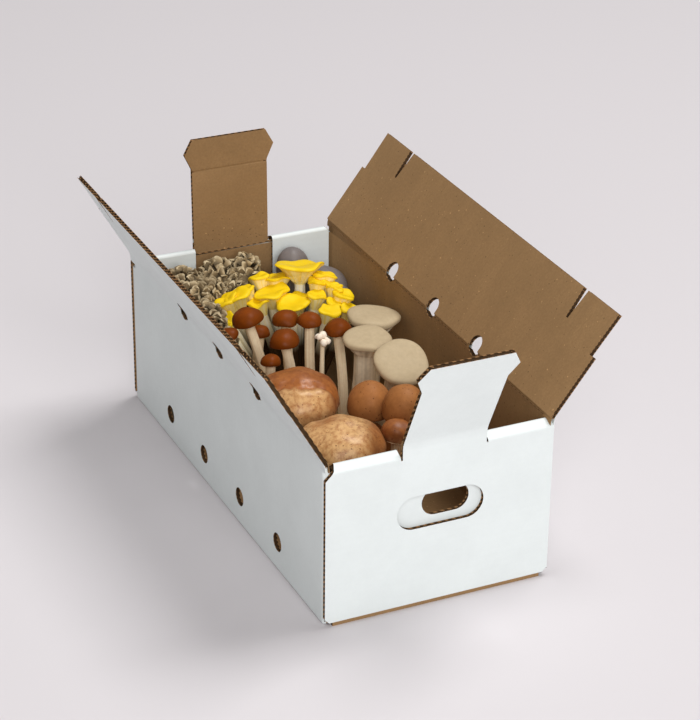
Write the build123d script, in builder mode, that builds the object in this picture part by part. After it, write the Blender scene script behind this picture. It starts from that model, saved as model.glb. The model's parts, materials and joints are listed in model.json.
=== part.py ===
from build123d import *
import os
from math import atan2, cos, degrees, radians, sin, tan

# A mushroom kit box: one die-cut corrugated sheet folded into a tray with rolled ends, two hinged lid
# flaps and two hinged lock tabs, and the mixed mushrooms that are packed in it.
# Millimetres, +Z up. The origin is the middle of the tray's underside, +X runs across the box and
# +Y runs from the front end to the rear end.

# Board
board = 3.6  # thickness of the corrugated board
fold_radius = 3.0  # outside radius of a folded edge
layer_gap = 0.3  # air between layers that are folded onto each other
hinge_gap = 0.3  # air under the rounded root of a hinged panel

# Tray
box_length = 433.5
box_width = 200.0
wall_height = 144.4
roll_drop = 4.6  # how far the outer crease of a rolled end lies below its inner crease
corner_cut = 7.0  # chamfer at one top corner of an end panel, where its roll stops short of the side
flush_gap = 0.8  # from the other end of the roll to the side
bottom_cut = 4.0  # chamfer at the bottom corners of an end panel
bottom_inset = 0.6  # the raw bottom edge stands this far behind the end panel
bevel_angle = 40.0  # slope of a hinged edge, which lets its panel swing below level

# Ventilation holes in the side walls and along the lid folds
vent_diameter = 16.5
vent_height = 27.0
vent_pitch = 81.0
wall_vent_count = 4
fold_vent_count = 3
fold_vent_reach = 11.5  # how far a fold vent runs up the flap
fold_vent_drop = 4.5  # how far it runs down the wall

# Hand holes: a wide one in the end panel and a smaller one in the long corner ear behind it
hand_hole_length = 76.5
hand_hole_height = 29.7
hand_hole_level = 87.6
ear_hole_length = 41.7
ear_hole_height = 24.0
ear_hole_level = 92.0
ear_hole_offset = 6.0
ear_joint = 52.0  # from the middle of an end to where its long ear meets its short one

# Lid flaps
flap_clearance = 0.8  # air between a closed flap and the strips that carry the lock tabs
flap_end_gap = 0.3  # from the end of a flap to the end of the box
closing_gap = 1.0  # air between the two closed flaps
left_flap_lean = 30.0  # degrees out from upright
right_flap_lean = 37.5
lock_slit_inset = 56.0  # from the end of a flap to the middle of its slit
lock_slit_length = 28.0
lock_slit_mouth = 7.5
lock_slit_end = 3.0
corner_notch_taper = 1.2  # a notch narrows by this much towards the free edge

# Lock tabs
tab_width = 73.5
tab_offset = 2.5  # from the middle of its end, towards the flush end of the roll
tab_neck = 68.0  # from the fold to the lower corners of the arrow head
tab_barb = 82.5  # from the fold to the widest place of the arrow head
tab_reach = 96.5
barb_width = 87.0
tab_tip_width = 71.7
tab_crease_height = 66.0
tab_crease_width = 3.0
tab_crease_depth = 0.5
tab_slit = 1.5  # width of the relief slit at each side of a tab
tab_slit_depth = 2.5
front_tab_lean = 26.0
rear_tab_lean = 1.2

# Mushrooms: the widest cap of each kind, its height, its stem and, where they are heaped, one's height
rest_gap = 0.3  # air between a mushroom and what it stands on
shiitake_cap = 64.0
shiitake_cap_height = 23.0
shiitake_stem = 15.0
shiitake_height = 50.0
cremini_cap = 37.0
cremini_cap_height = 22.0
cremini_stem = 15.0
cremini_height = 38.0
pioppino_cap = 29.0
pioppino_cap_height = 13.0
pioppino_stem = 9.0
king_cap = 48.0
king_cap_height = 11.0
king_stem = 25.0
golden_cap = 46.0
golden_cap_height = 9.0
golden_stem = 10.0
golden_base = 40.0
grey_cap = 60.0
grey_cap_height = 20.0
grey_stem = 16.0
grey_base = 34.0
maitake_tuft = 40.0
maitake_tuft_height = 22.0
maitake_branch = 15.0
maitake_base = 50.0

# Where the mushrooms stand, as shares of half the inside width, half the inside length and the inside
# height. A row is the foot, then the place and height of the crown, then the size of the cap.
pioppino_shares = {
    "pioppino_1": (-0.17, 0.34, -0.45, 0.40, 0.955, 1.0),
    "pioppino_2": (0.02, 0.317, -0.093, 0.361, 0.92, 0.84),
    "pioppino_3": (0.155, 0.257, 0.062, 0.267, 0.947, 0.77),
    "pioppino_4": (-0.062, 0.198, -0.26, 0.193, 0.912, 0.93),
    "pioppino_5": (0.31, 0.168, 0.29, 0.208, 0.908, 0.91),
    "pioppino_6": (-0.25, 0.47, -0.26, 0.445, 0.784, 0.62),
    "pioppino_7": (-0.467, 0.272, -0.705, 0.297, 0.92, 0.6),
    "pioppino_8": (-0.456, 0.119, -0.467, 0.099, 0.84, 0.6),
    "young_pioppino": (0.104, 0.139, 0.073, 0.134, 0.919, 0.45),
}
king_shares = {
    "king_oyster_1": (0.62, 0.247, 0.716, 0.262, 0.876, 1.0),
    "king_oyster_2": (0.373, 0.079, 0.425, 0.035, 0.905, 0.9),
    "king_oyster_3": (0.70, 0.09, 0.519, -0.203, 0.883, 0.98),
}
# A heap is its place, then its mushrooms from the floor up: the height of each and the size of its cap.
shiitake_heap_shares = {
    "shiitake_1": (-0.456, -0.176, ((1.0, 0.94), (1.51, 1.12))),
    "shiitake_2": (-0.446, -0.595, ((1.0, 0.94), (1.46, 1.09))),
    "shiitake_3": (0.078, -0.605, ((1.0, 0.42), (1.27, 0.42))),
}
cremini_heap_shares = {
    "cremini_1": (0.124, -0.287, ((1.03, 0.92), (1.03, 0.92), (1.03, 1.0))),
    "cremini_2": (0.28, -0.46, ((1.12, 0.92), (1.12, 0.92), (1.12, 1.0))),
}
# A cluster is the place of its base, then its caps: the place, height and size of each.
golden_base_shares = (0.228, 0.574)
golden_cap_shares = (
    (0.415, 0.735, 0.965, 0.92),
    (0.02, 0.782, 0.9, 0.44),
    (-0.17, 0.708, 0.885, 0.34),
    (-0.33, 0.663, 0.885, 0.57),
    (0.04, 0.663, 0.865, 0.72),
    (0.166, 0.559, 0.835, 0.72),
    (0.622, 0.673, 0.905, 0.48),
    (0.622, 0.564, 0.885, 0.36),
    (0.664, 0.515, 0.86, 0.48),
    (0.68, 0.443, 0.8, 0.44),
    (0.425, 0.416, 0.84, 0.44),
    (0.425, 0.559, 0.86, 0.44),
)
grey_base_shares = (0.58, 0.86)
grey_cap_shares = (
    (0.48, 0.91, 0.95, 0.52),
    (0.74, 0.8, 0.84, 0.8),
)
maitake_base_shares = (-0.64, 0.73)
maitake_tuft_shares = (
    (-0.74, 0.53, 0.95, 1.0),
    (-0.72, 0.7, 0.965, 1.0),
    (-0.66, 0.87, 0.965, 1.0),
    (-0.3, 0.9, 0.965, 0.85),
    (0.0, 0.915, 0.955, 0.7),
)
droop_share = -0.12  # the rim of a domed cap hangs below the top of its stem, of the cap's height
funnel_share = 0.35  # the rim of a funnel-shaped cap stands above the top of its stem
foot_share = 1.15  # the foot of a stem, of the stem's own size
neck_share = 0.8  # a cluster's branch where it meets its cap, of its size in the base
root_share = 0.28  # how high in a cluster's base its branches start, of the base's size
spread_share = 0.2  # how far from the middle of the base they start, of the way to their caps

# Places that follow from the sizes
front_face = -box_length / 2
ear_face = front_face + board + layer_gap
inner_face = front_face + 3 * board + 2 * layer_gap
side_face = box_width / 2
long_ear = side_face + ear_joint - layer_gap
short_ear = side_face - ear_joint - layer_gap
shoulder_height = wall_height - roll_drop
ear_height = shoulder_height - board
roll_start = tab_width / 2 + tab_slit
roll_end = side_face - corner_cut
bevel_start = board / 4
bevel_drop = (board - bevel_start) * tan(radians(bevel_angle))
flap_axis = wall_height + hinge_gap + board / 2
tab_axis = flap_axis + board + hinge_gap
riser_height = tab_axis - board / 2 - hinge_gap
flap_length = box_length - 2 * flap_end_gap
flap_depth = side_face - board / 2 - closing_gap / 2
notch_length = tab_width / 2 + tab_offset + flap_clearance - closing_gap / 2
notch_depth = board + flap_clearance - flap_end_gap
inside_half_width = side_face - board
inside_half_length = -inner_face
inside_height = wall_height - board
floor = board + rest_gap


def row_of_places(count, pitch):
    """Places along the length of the box, centred on its middle."""
    return [(index - (count - 1) / 2) * pitch for index in range(count)]


wall_vent_places = row_of_places(wall_vent_count, vent_pitch)
fold_vent_places = row_of_places(fold_vent_count, vent_pitch)

# Bottom and side walls, with the bevelled edges that carry the lid flaps
with BuildPart() as sleeve:
    with BuildSketch(Plane.XZ) as section:
        with BuildLine():
            Polyline(
                (0, 0),
                (side_face, 0),
                (side_face, wall_height - bevel_drop),
                (inside_half_width + bevel_start, wall_height),
                (inside_half_width, wall_height),
                (inside_half_width, board),
                (0, board),
                close=True,
            )
        make_face()
        folded_edge = section.vertices().group_by(Axis.X)[-1].sort_by(Axis.Y)[0]
        fillet(folded_edge, radius=fold_radius)
        mirror(about=Plane.YZ)
    extrude(amount=-ear_face, both=True)

    # Four ears fold in from the side walls, a long and a short one behind each end panel
    with BuildSketch(Plane.XY.offset(board + layer_gap)):
        for end in (1, -1):
            with Locations((end * (long_ear / 2 - side_face), end * (ear_face + board / 2))):
                Rectangle(long_ear, board)
            with Locations((end * (side_face - short_ear / 2), end * (ear_face + board / 2))):
                Rectangle(short_ear, board)
    extrude(amount=ear_height - board - layer_gap)
    upright_edges = sleeve.edges().filter_by(Axis.Z)
    corner_edges = upright_edges.group_by(lambda edge: abs(edge.center().X))[-1]
    fillet(corner_edges.group_by(lambda edge: abs(edge.center().Y))[-1], radius=fold_radius)

    # The top corner of each wall makes room for the flush end of a roll
    with BuildSketch(Plane.XY.offset(ear_height - layer_gap)):
        for end in (1, -1):
            with Locations((end * side_face, end * (inner_face + layer_gap))):
                Rectangle(
                    2 * (board + layer_gap),
                    box_length / 2 + inner_face + layer_gap,
                    align=(Align.CENTER, Align.MAX if end == 1 else Align.MIN),
                )
    extrude(amount=wall_height, mode=Mode.SUBTRACT)

    # A smaller hand hole in each long ear
    for end in (1, -1):
        with BuildSketch(Plane.XZ):
            with Locations((end * ear_hole_offset, ear_hole_level)):
                SlotOverall(ear_hole_length, ear_hole_height)
        extrude(amount=end * box_length / 2, mode=Mode.SUBTRACT)

    # Ventilation holes low in the walls, and the lower parts of those on the lid folds
    with BuildSketch(Plane.YZ):
        with Locations(*[(place, vent_height) for place in wall_vent_places]):
            Circle(vent_diameter / 2)
        low_round = wall_height + vent_diameter / 2 - fold_vent_drop
        with Locations(*[(place, low_round) for place in fold_vent_places]):
            Circle(vent_diameter / 2)
    extrude(amount=side_face, both=True, mode=Mode.SUBTRACT)

# The front end: its panel stands on the bottom edge, rolls over the ears and comes down inside
with BuildPart() as rolled_end:
    with BuildSketch(Plane.YZ) as roll_section:
        with BuildLine():
            roll = Polyline(
                (front_face, board),
                (front_face, shoulder_height),
                (inner_face, wall_height),
                (inner_face, board + layer_gap),
            )
            offset(roll, amount=board, side=Side.LEFT, kind=Kind.INTERSECTION)
        make_face()
        outer_crease = roll_section.vertices().group_by(Axis.X)[0].sort_by(Axis.Y)[-1]
        inner_crease = roll_section.vertices().sort_by(Axis.Y)[-1]
        fillet([outer_crease, inner_crease], radius=fold_radius)
    extrude(amount=side_face, both=True)

    # The roll leaves room for the lock tab in the middle and for the side walls at its ends
    with BuildSketch(Plane.XY):
        with Locations((tab_offset, front_face + board)):
            Rectangle(2 * roll_start, inside_half_length, align=(Align.CENTER, Align.MIN))
        with Locations((-side_face, front_face + board)):
            Rectangle(corner_cut, inside_half_length, align=(Align.MIN, Align.MIN))
        with Locations((side_face, front_face + board)):
            Rectangle(flush_gap, inside_half_length, align=(Align.MAX, Align.MIN))
    extrude(amount=wall_height, mode=Mode.SUBTRACT)
    with BuildSketch(Plane.XY):
        with Locations((side_face, front_face + board)):
            Rectangle(corner_cut, inside_half_length, align=(Align.MAX, Align.MIN))
    extrude(amount=ear_height, mode=Mode.SUBTRACT)
    with BuildSketch(Plane.XZ):
        with BuildLine():
            Polyline(
                (side_face, board),
                (side_face, board + bottom_cut),
                (side_face - bottom_cut, board),
                close=True,
            )
        make_face()
        mirror(about=Plane.YZ)
        with BuildLine():
            Polyline(
                (-side_face, shoulder_height - corner_cut),
                (-side_face, shoulder_height + corner_cut),
                (2 * corner_cut - side_face, shoulder_height + corner_cut),
                close=True,
            )
        make_face()
        with BuildLine():
            Polyline(
                (side_face, wall_height - bevel_drop),
                (side_face, wall_height),
                (inside_half_width + bevel_start, wall_height),
                close=True,
            )
        make_face()
        with Locations((tab_offset, shoulder_height - tab_slit_depth)):
            Rectangle(2 * roll_start, wall_height, align=(Align.CENTER, Align.MIN))
        with Locations((0, hand_hole_level)):
            SlotOverall(hand_hole_length, hand_hole_height)
    extrude(amount=box_length, mode=Mode.SUBTRACT)

    # The upright strip that carries the lock tab over the closed flaps
    with BuildSketch(Plane.YZ.offset(tab_offset)):
        with BuildLine():
            Polyline(
                (front_face, shoulder_height - tab_slit_depth),
                (front_face, riser_height - bevel_drop),
                (front_face + board - bevel_start, riser_height),
                (front_face + board, riser_height),
                (front_face + board, shoulder_height - tab_slit_depth),
                close=True,
            )
        make_face()
    extrude(amount=tab_width / 2, both=True)

    # The raw edge of the bottom, under the end panel
    with BuildSketch(Plane.XY):
        with Locations((0, front_face + bottom_inset)):
            Rectangle(2 * roll_end, 2 * board, align=(Align.CENTER, Align.MIN))
    extrude(amount=board)

with BuildPart() as tray:
    add(sleeve.part)
    add(rolled_end.part)
    add(rolled_end.part.rotate(Axis.Z, 180))


def lid_flap(side, lean):
    """A lid flap, hinged on the side wall at +X or -X and leaning out from upright."""
    root = Vector(side * (side_face - board / 2), 0, flap_axis)
    rise = Vector(side * sin(radians(lean)), 0, cos(radians(lean)))
    along = Vector(0, 1, 0)
    with BuildPart() as flap:
        with BuildSketch(Plane(origin=root, x_dir=rise, z_dir=along)):
            with BuildLine():
                Polyline((0, board / 2), (flap_depth, board / 2), (flap_depth, -board / 2), (0, -board / 2))
                ThreePointArc((0, -board / 2), (-board / 2, 0), (0, board / 2))
            make_face()
        extrude(amount=flap_length / 2, both=True)
        with BuildSketch(Plane(origin=root, x_dir=along, z_dir=along.cross(rise))):
            notch_start = flap_depth - notch_length
            for end in (1, -1):
                slit_middle = end * (flap_length / 2 - lock_slit_inset)
                with BuildLine():
                    Polyline(
                        (slit_middle - lock_slit_mouth / 2, flap_depth),
                        (slit_middle + lock_slit_mouth / 2, flap_depth),
                        (slit_middle + lock_slit_end / 2, flap_depth - lock_slit_length),
                        (slit_middle - lock_slit_end / 2, flap_depth - lock_slit_length),
                        close=True,
                    )
                make_face()
                with BuildLine():
                    Polyline(
                        (end * flap_length / 2, flap_depth),
                        (end * (flap_length / 2 - notch_depth), flap_depth),
                        (end * (flap_length / 2 - notch_depth - corner_notch_taper), notch_start),
                        (end * flap_length / 2, notch_start),
                        close=True,
                    )
                make_face()
            vent_round = fold_vent_reach - vent_diameter / 2
            with Locations(*[(place, vent_round) for place in fold_vent_places]):
                Circle(vent_diameter / 2)
                Rectangle(vent_diameter, vent_round + board, align=(Align.CENTER, Align.MAX))
        extrude(amount=board, both=True, mode=Mode.SUBTRACT)
    return flap.part


def lock_tab(end, lean):
    """A lock tab with an arrow head, hinged on the strip at the front (-1) or rear (1) end."""
    root = Vector(-end * tab_offset, end * (box_length / 2 - board / 2), tab_axis)
    rise = Vector(0, end * sin(radians(lean)), cos(radians(lean)))
    across = Vector(1, 0, 0)
    with BuildPart() as tab:
        with BuildSketch(Plane(origin=root, x_dir=across, z_dir=across.cross(rise))):
            with BuildLine():
                Polyline(
                    (0, 0),
                    (tab_width / 2, 0),
                    (tab_width / 2, tab_neck),
                    (barb_width / 2, tab_barb),
                    (tab_tip_width / 2, tab_reach),
                    (0, tab_reach),
                    close=True,
                )
            make_face()
            mirror(about=Plane.YZ)
        extrude(amount=board / 2, both=True)
        with BuildSketch(Plane(origin=root, x_dir=rise, z_dir=across)):
            with BuildLine():
                Line((0, -board / 2), (0, board / 2))
                ThreePointArc((0, board / 2), (-board / 2, 0), (0, -board / 2))
            make_face()
        extrude(amount=tab_width / 2, both=True)
        with BuildSketch(Plane(origin=root, x_dir=rise, z_dir=across)):
            with BuildLine():
                Polyline(
                    (tab_crease_height - tab_crease_width / 2, end * board / 2),
                    (tab_crease_height + tab_crease_width / 2, end * board / 2),
                    (tab_crease_height, end * (board / 2 - tab_crease_depth)),
                    close=True,
                )
            make_face()
        extrude(amount=barb_width, both=True, mode=Mode.SUBTRACT)
    return tab.part


def place(across_share, along_share, height):
    """A point over the tray's floor."""
    return Vector(across_share * inside_half_width, along_share * inside_half_length, height)


def mushroom_profile(foot, crown, foot_size, neck_size, cap_size, cap_height, rim_share):
    """Half the section of a stem with a round foot and a cap, beside the line from foot to crown."""
    reach = (crown - foot).length
    neck = reach - cap_height
    rim = neck + rim_share * cap_height
    dome_height = reach - rim
    dome_radius = ((cap_size / 2) ** 2 + dome_height**2) / (2 * dome_height)
    dome_middle = reach - dome_radius
    rim_angle = degrees(atan2(rim - dome_middle, cap_size / 2))
    upright = Plane(origin=foot, z_dir=crown - foot)
    with BuildSketch(Plane(origin=foot, x_dir=upright.x_dir, z_dir=-upright.y_dir)) as profile:
        with BuildLine():
            CenterArc((0, 0), foot_size / 2, -90, 90)
            Polyline((foot_size / 2, 0), (neck_size / 2, neck), (cap_size / 2, rim))
            CenterArc((0, dome_middle), dome_radius, rim_angle, 90 - rim_angle)
            Line((0, reach), (0, -foot_size / 2))
        make_face()
    return profile.sketch


def standing_mushroom(shares, cap_size, cap_height, stem_size, rim_share):
    """A mushroom that stands on the tray's floor."""
    foot_across, foot_along, crown_across, crown_along, height_share, cap_share = shares
    foot_size = foot_share * stem_size
    foot = place(foot_across, foot_along, floor + foot_size / 2)
    crown = place(crown_across, crown_along, floor + height_share * inside_height)
    profile = mushroom_profile(
        foot, crown, foot_size, stem_size, cap_share * cap_size, cap_share * cap_height, rim_share
    )
    with BuildPart() as mushroom:
        revolve(profile, axis=Axis(foot, crown - foot))
    return mushroom.part


def heap(across_share, along_share, rows, cap_size, cap_height, stem_size, height):
    """Mushrooms that stand on each other's crowns, from the floor up."""
    pieces = []
    level = floor
    foot_size = foot_share * stem_size
    for height_share, cap_share in rows:
        foot = place(across_share, along_share, level + foot_size / 2)
        crown = place(across_share, along_share, level + height_share * height)
        profile = mushroom_profile(
            foot, crown, foot_size, stem_size, cap_share * cap_size, cap_share * cap_height, droop_share
        )
        with BuildPart() as mushroom:
            revolve(profile, axis=Axis(foot, crown - foot))
        pieces.append(mushroom.part)
        level += height_share * height + rest_gap
    return pieces


def cluster(base_shares, cap_shares, base_size, branch_size, cap_size, cap_height, rim_share):
    """Caps on branches that grow from one round base on the tray's floor."""
    base = place(*base_shares, floor)
    with BuildPart() as clump:
        with Locations(base):
            Sphere(base_size / 2, arc_size1=0, align=(Align.CENTER, Align.CENTER, Align.MIN))
        for across_share, along_share, height_share, cap_share in cap_shares:
            crown = place(across_share, along_share, floor + height_share * inside_height)
            outward = Vector(crown.X - base.X, crown.Y - base.Y, 0)
            root = base + spread_share * outward + Vector(0, 0, root_share * base_size)
            profile = mushroom_profile(
                root,
                crown,
                branch_size,
                neck_share * branch_size,
                cap_share * cap_size,
                cap_height,
                rim_share,
            )
            revolve(profile, axis=Axis(root, crown - root))
    return clump.part


pieces = {
    "tray": tray.part,
    "left_lid_flap": lid_flap(-1, left_flap_lean),
    "right_lid_flap": lid_flap(1, right_flap_lean),
    "front_lock_tab": lock_tab(-1, front_tab_lean),
    "rear_lock_tab": lock_tab(1, rear_tab_lean),
    "golden_oyster_cluster": cluster(
        golden_base_shares, golden_cap_shares, golden_base, golden_stem, golden_cap, golden_cap_height, 0
    ),
    "grey_oyster_cluster": cluster(
        grey_base_shares, grey_cap_shares, grey_base, grey_stem, grey_cap, grey_cap_height, droop_share
    ),
    "maitake_cluster": cluster(
        maitake_base_shares,
        maitake_tuft_shares,
        maitake_base,
        maitake_branch,
        maitake_tuft,
        maitake_tuft_height,
        0,
    ),
}
for name, shares in pioppino_shares.items():
    pieces[name] = standing_mushroom(
        shares, pioppino_cap, pioppino_cap_height, pioppino_stem, droop_share
    )
for name, shares in king_shares.items():
    pieces[name] = standing_mushroom(shares, king_cap, king_cap_height, king_stem, funnel_share)
for name, (across_share, along_share, rows) in shiitake_heap_shares.items():
    heaped = heap(
        across_share, along_share, rows, shiitake_cap, shiitake_cap_height, shiitake_stem, shiitake_height
    )
    for number, mushroom in enumerate(heaped):
        pieces[name if number == len(heaped) - 1 else f"{name}_under_{number + 1}"] = mushroom
for name, (across_share, along_share, rows) in cremini_heap_shares.items():
    heaped = heap(
        across_share, along_share, rows, cremini_cap, cremini_cap_height, cremini_stem, cremini_height
    )
    for number, mushroom in enumerate(heaped):
        pieces[name if number == len(heaped) - 1 else f"{name}_under_{number + 1}"] = mushroom

os.makedirs("parts", exist_ok=True)
for name, piece in pieces.items():
    piece.label = name
    export_step(piece, f"parts/{name}.step")
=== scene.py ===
import json
import math
import random
from typing import NamedTuple

import bmesh
import bpy
import numpy as np
from bpy.props import FloatProperty, FloatVectorProperty, PointerProperty
from mathutils import Matrix, Vector, noise


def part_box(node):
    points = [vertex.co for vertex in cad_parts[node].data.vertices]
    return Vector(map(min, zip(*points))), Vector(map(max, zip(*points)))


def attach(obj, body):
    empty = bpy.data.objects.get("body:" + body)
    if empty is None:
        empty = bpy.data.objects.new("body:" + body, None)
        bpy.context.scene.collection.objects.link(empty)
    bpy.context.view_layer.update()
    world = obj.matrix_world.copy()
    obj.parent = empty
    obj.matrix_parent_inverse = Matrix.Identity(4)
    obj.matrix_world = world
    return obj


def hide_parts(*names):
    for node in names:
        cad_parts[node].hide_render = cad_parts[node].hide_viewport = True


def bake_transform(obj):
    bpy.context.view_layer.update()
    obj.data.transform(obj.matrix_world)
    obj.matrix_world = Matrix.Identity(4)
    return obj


# The looks of a mushroom kit box: corrugated board with open flutes, and the mushrooms packed in it.
# Metres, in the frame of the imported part: +X across the box, +Y from its front end to its rear end.

bl_info = {
    "name": "Mushroom kit box",
    "version": (1, 0, 0),
    "blender": (4, 5, 0),
    "location": "View3D > Sidebar > Kit box",
    "description": "Builds the board and the mushrooms of a kit box around its packed frame",
    "category": "Object",
}

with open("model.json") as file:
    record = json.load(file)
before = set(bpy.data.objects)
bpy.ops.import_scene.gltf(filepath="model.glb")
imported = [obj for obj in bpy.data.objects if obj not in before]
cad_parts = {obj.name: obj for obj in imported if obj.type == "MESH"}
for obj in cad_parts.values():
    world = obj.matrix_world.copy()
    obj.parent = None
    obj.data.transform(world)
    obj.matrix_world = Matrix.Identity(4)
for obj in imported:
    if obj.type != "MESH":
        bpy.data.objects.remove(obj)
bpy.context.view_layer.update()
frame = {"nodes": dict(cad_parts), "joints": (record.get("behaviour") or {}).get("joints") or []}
joints = {joint["name"]: joint for joint in frame["joints"]}

MM = 0.001


def shade(red, green, blue):
    """A colour given as screen values from 0 to 255, in linear light."""
    channels = []
    for value in (red, green, blue):
        share = value / 255
        channels.append(share / 12.92 if share <= 0.04045 else ((share + 0.055) / 1.055) ** 2.4)
    return tuple(channels)


def colour_property(name, description, red, green, blue):
    """A colour that a user can change."""
    return FloatVectorProperty(
        name=name,
        description=description,
        subtype="COLOR",
        size=3,
        min=0,
        max=1,
        default=shade(red, green, blue),
    )


def length_property(name, description, default):
    """A length in metres that a user can change."""
    return FloatProperty(
        name=name, description=description, unit="LENGTH", min=0, default=default, precision=5
    )


def amount_property(name, description, default):
    """A power, a strength or a focal length that a user can change."""
    return FloatProperty(name=name, description=description, min=0, default=default)


class KitBoxBoard(bpy.types.PropertyGroup):
    """Corrugated board."""

    thickness: length_property("Thickness", "Thickness of the board", 3.6 * MM)
    layer_gap: length_property("Layer gap", "Air between layers folded onto each other", 0.3 * MM)
    liner: length_property("Liner", "Thickness of one liner", 0.42 * MM)
    flute_pitch: length_property("Flute pitch", "From one flute to the next", 6.4 * MM)
    flute_depth: length_property("Flute depth", "Depth of the flutes from a cut edge", 3.0 * MM)
    recess: length_property("Recess", "How far the closed core lies behind a cut edge", 1.1 * MM)
    fold_reach: length_property("Fold reach", "How far the skin over a fold reaches to each side", 6.5 * MM)
    tab_offset: length_property("Tab offset", "From an end's middle to its tab's middle", 2.5 * MM)
    tab_width: length_property("Tab width", "Width of a lock tab", 73.5 * MM)
    tab_slit: length_property("Tab slit", "Width of the slit at each side of a tab", 1.5 * MM)
    corner_cut: length_property("Corner cut", "How far a lining stays from the side walls", 7 * MM)
    vent_diameter: length_property("Vent", "Diameter of a ventilation hole", 16.5 * MM)
    vent_pitch: length_property("Vent pitch", "From one ventilation hole on a fold to the next", 81 * MM)
    white: colour_property("White liner", "Colour of the bleached outer liner", 231, 237, 236)
    kraft: colour_property("Kraft liner", "Colour of the brown inner liner", 164, 129, 88)
    core: colour_property("Core", "Colour of the cut edges and the flutes", 146, 110, 74)


class KitBoxMushrooms(bpy.types.PropertyGroup):
    """Colours of the mushrooms."""

    golden: colour_property("Golden oyster", "Cap of the golden oyster", 244, 208, 14)
    golden_gill: colour_property("Golden gills", "Gills and stems of the golden oyster", 250, 234, 172)
    # Painted shade: the dark foot colour stands for the shade deep in the heap, on the stems and the
    # cluster's base.
    golden_foot_shade: colour_property("Golden foot", "Foot of the golden oyster's cluster", 66, 46, 24)
    grey: colour_property("Grey oyster", "Cap of the grey oyster", 126, 118, 116)
    grey_gill: colour_property("Grey gills", "Gills and stems of the grey oyster", 205, 196, 182)
    maitake: colour_property("Maitake", "Fronds of the maitake", 172, 149, 112)
    maitake_rim: colour_property("Maitake rim", "Rims of the maitake's fronds", 212, 194, 158)
    pioppino: colour_property("Pioppino", "Cap of the pioppino", 140, 68, 16)
    pioppino_rim: colour_property("Pioppino rim", "Rim of the pioppino's cap", 206, 150, 92)
    pioppino_stem: colour_property("Pioppino stem", "Stem of the pioppino", 255, 238, 204)
    king: colour_property("King oyster", "Cap of the king oyster", 194, 174, 140)
    king_stem: colour_property("King oyster stem", "Stem and gills of the king oyster", 255, 238, 208)
    shiitake: colour_property("Shiitake", "Cap of the shiitake", 178, 110, 54)
    shiitake_dark: colour_property("Shiitake dark", "Dark places of the shiitake's cap", 126, 66, 28)
    # On the second shiitake the pale colour is partly a painted highlight.
    shiitake_pale: colour_property("Shiitake pale", "Pale places of the shiitake's cap", 220, 176, 120)
    shiitake_stem: colour_property("Shiitake stem", "Stem and gills of the shiitake", 226, 200, 164)
    cremini: colour_property("Cremini", "Cap of the cremini", 178, 117, 64)
    cremini_dark: colour_property("Cremini dark", "Specks of the cremini's cap", 120, 68, 34)


class KitBoxStage(bpy.types.PropertyGroup):
    """Camera, floor and light."""

    camera_place: FloatVectorProperty(
        name="Camera", description="Where the camera stands", subtype="XYZ", unit="LENGTH", size=3,
        default=(-0.7677, -1.6891, 1.0575),
    )
    camera_aim: FloatVectorProperty(
        name="Aim", description="Direction that the camera looks in", subtype="DIRECTION", size=3,
        default=(0.3773, 0.8084, -0.4518),
    )
    camera_right: FloatVectorProperty(
        name="Right", description="Direction to the right of the picture", subtype="DIRECTION", size=3,
        default=(0.9082, -0.4184, 0.0098),
    )
    lens: amount_property("Lens", "Focal length in millimetres", 121.1)
    floor: colour_property("Floor", "Colour of the floor and backdrop", 216, 211, 213)
    key_power: amount_property("Key light", "Power of the key light in watts", 150)
    fill_power: amount_property("Fill light", "Power of the fill light in watts", 172)
    sky: amount_property("Sky", "Strength of the light from all round", 0.26)


class KitBoxSettings(bpy.types.PropertyGroup):
    """Everything that a user would change."""

    board: PointerProperty(type=KitBoxBoard)
    mushrooms: PointerProperty(type=KitBoxMushrooms)
    stage: PointerProperty(type=KitBoxStage)


def settings():
    return bpy.context.scene.kit_box


# Nodes, and the groups that more than one material uses

SHADER = "Principled BSDF"
# How the flutes' cut ends are counted along an edge in X, in Y and in Z
EDGE_RUN = (1, 1, 1.5)


def new_group(name, inputs, outputs):
    """A shader node group, and the sockets inside it to read from and to feed."""
    group = bpy.data.node_groups.new(name, "ShaderNodeTree")
    for socket, kind in inputs.items():
        group.interface.new_socket(name=socket, in_out="INPUT", socket_type=f"NodeSocket{kind}")
    for socket in outputs:
        group.interface.new_socket(name=socket, in_out="OUTPUT", socket_type="NodeSocketFloat")
    return group, group.nodes.new("NodeGroupInput").outputs, group.nodes.new("NodeGroupOutput").inputs


def add_node(tree, kind, links=(), **values):
    """A node with its settings, its input values and the sockets that feed it."""
    node = tree.nodes.new(kind)
    for key, value in values.items():
        setattr(node, key, value)
    for socket, source in links:
        if hasattr(source, "is_output"):
            tree.links.new(source, node.inputs[socket])
        else:
            node.inputs[socket].default_value = source
    return node


def math_node(tree, operation, *values):
    """The result of one step of arithmetic on sockets and numbers."""
    return add_node(tree, "ShaderNodeMath", enumerate(values), operation=operation).outputs[0]


def map_value(tree, source, low, high, start=0.0, end=1.0):
    """A value mapped from one range to another, held at its ends."""
    links = [("Value", source), ("From Min", low), ("From Max", high), ("To Min", start), ("To Max", end)]
    return add_node(tree, "ShaderNodeMapRange", links).outputs[0]


def noise_node(tree, place, scale, detail, roughness):
    """Cloudy noise from 0 to 1."""
    links = [("Vector", place), ("Scale", scale), ("Detail", detail), ("Roughness", roughness)]
    return add_node(tree, "ShaderNodeTexNoise", links).outputs["Fac"]


def wave_node(tree, along, pitch):
    """A wave of one turn to each pitch."""
    turns = math_node(tree, "DIVIDE", along, pitch)
    return math_node(tree, "SINE", math_node(tree, "MULTIPLY", turns, math.tau))


def object_place(tree):
    """The place of a point in its object."""
    return add_node(tree, "ShaderNodeTexCoord").outputs["Object"]


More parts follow.
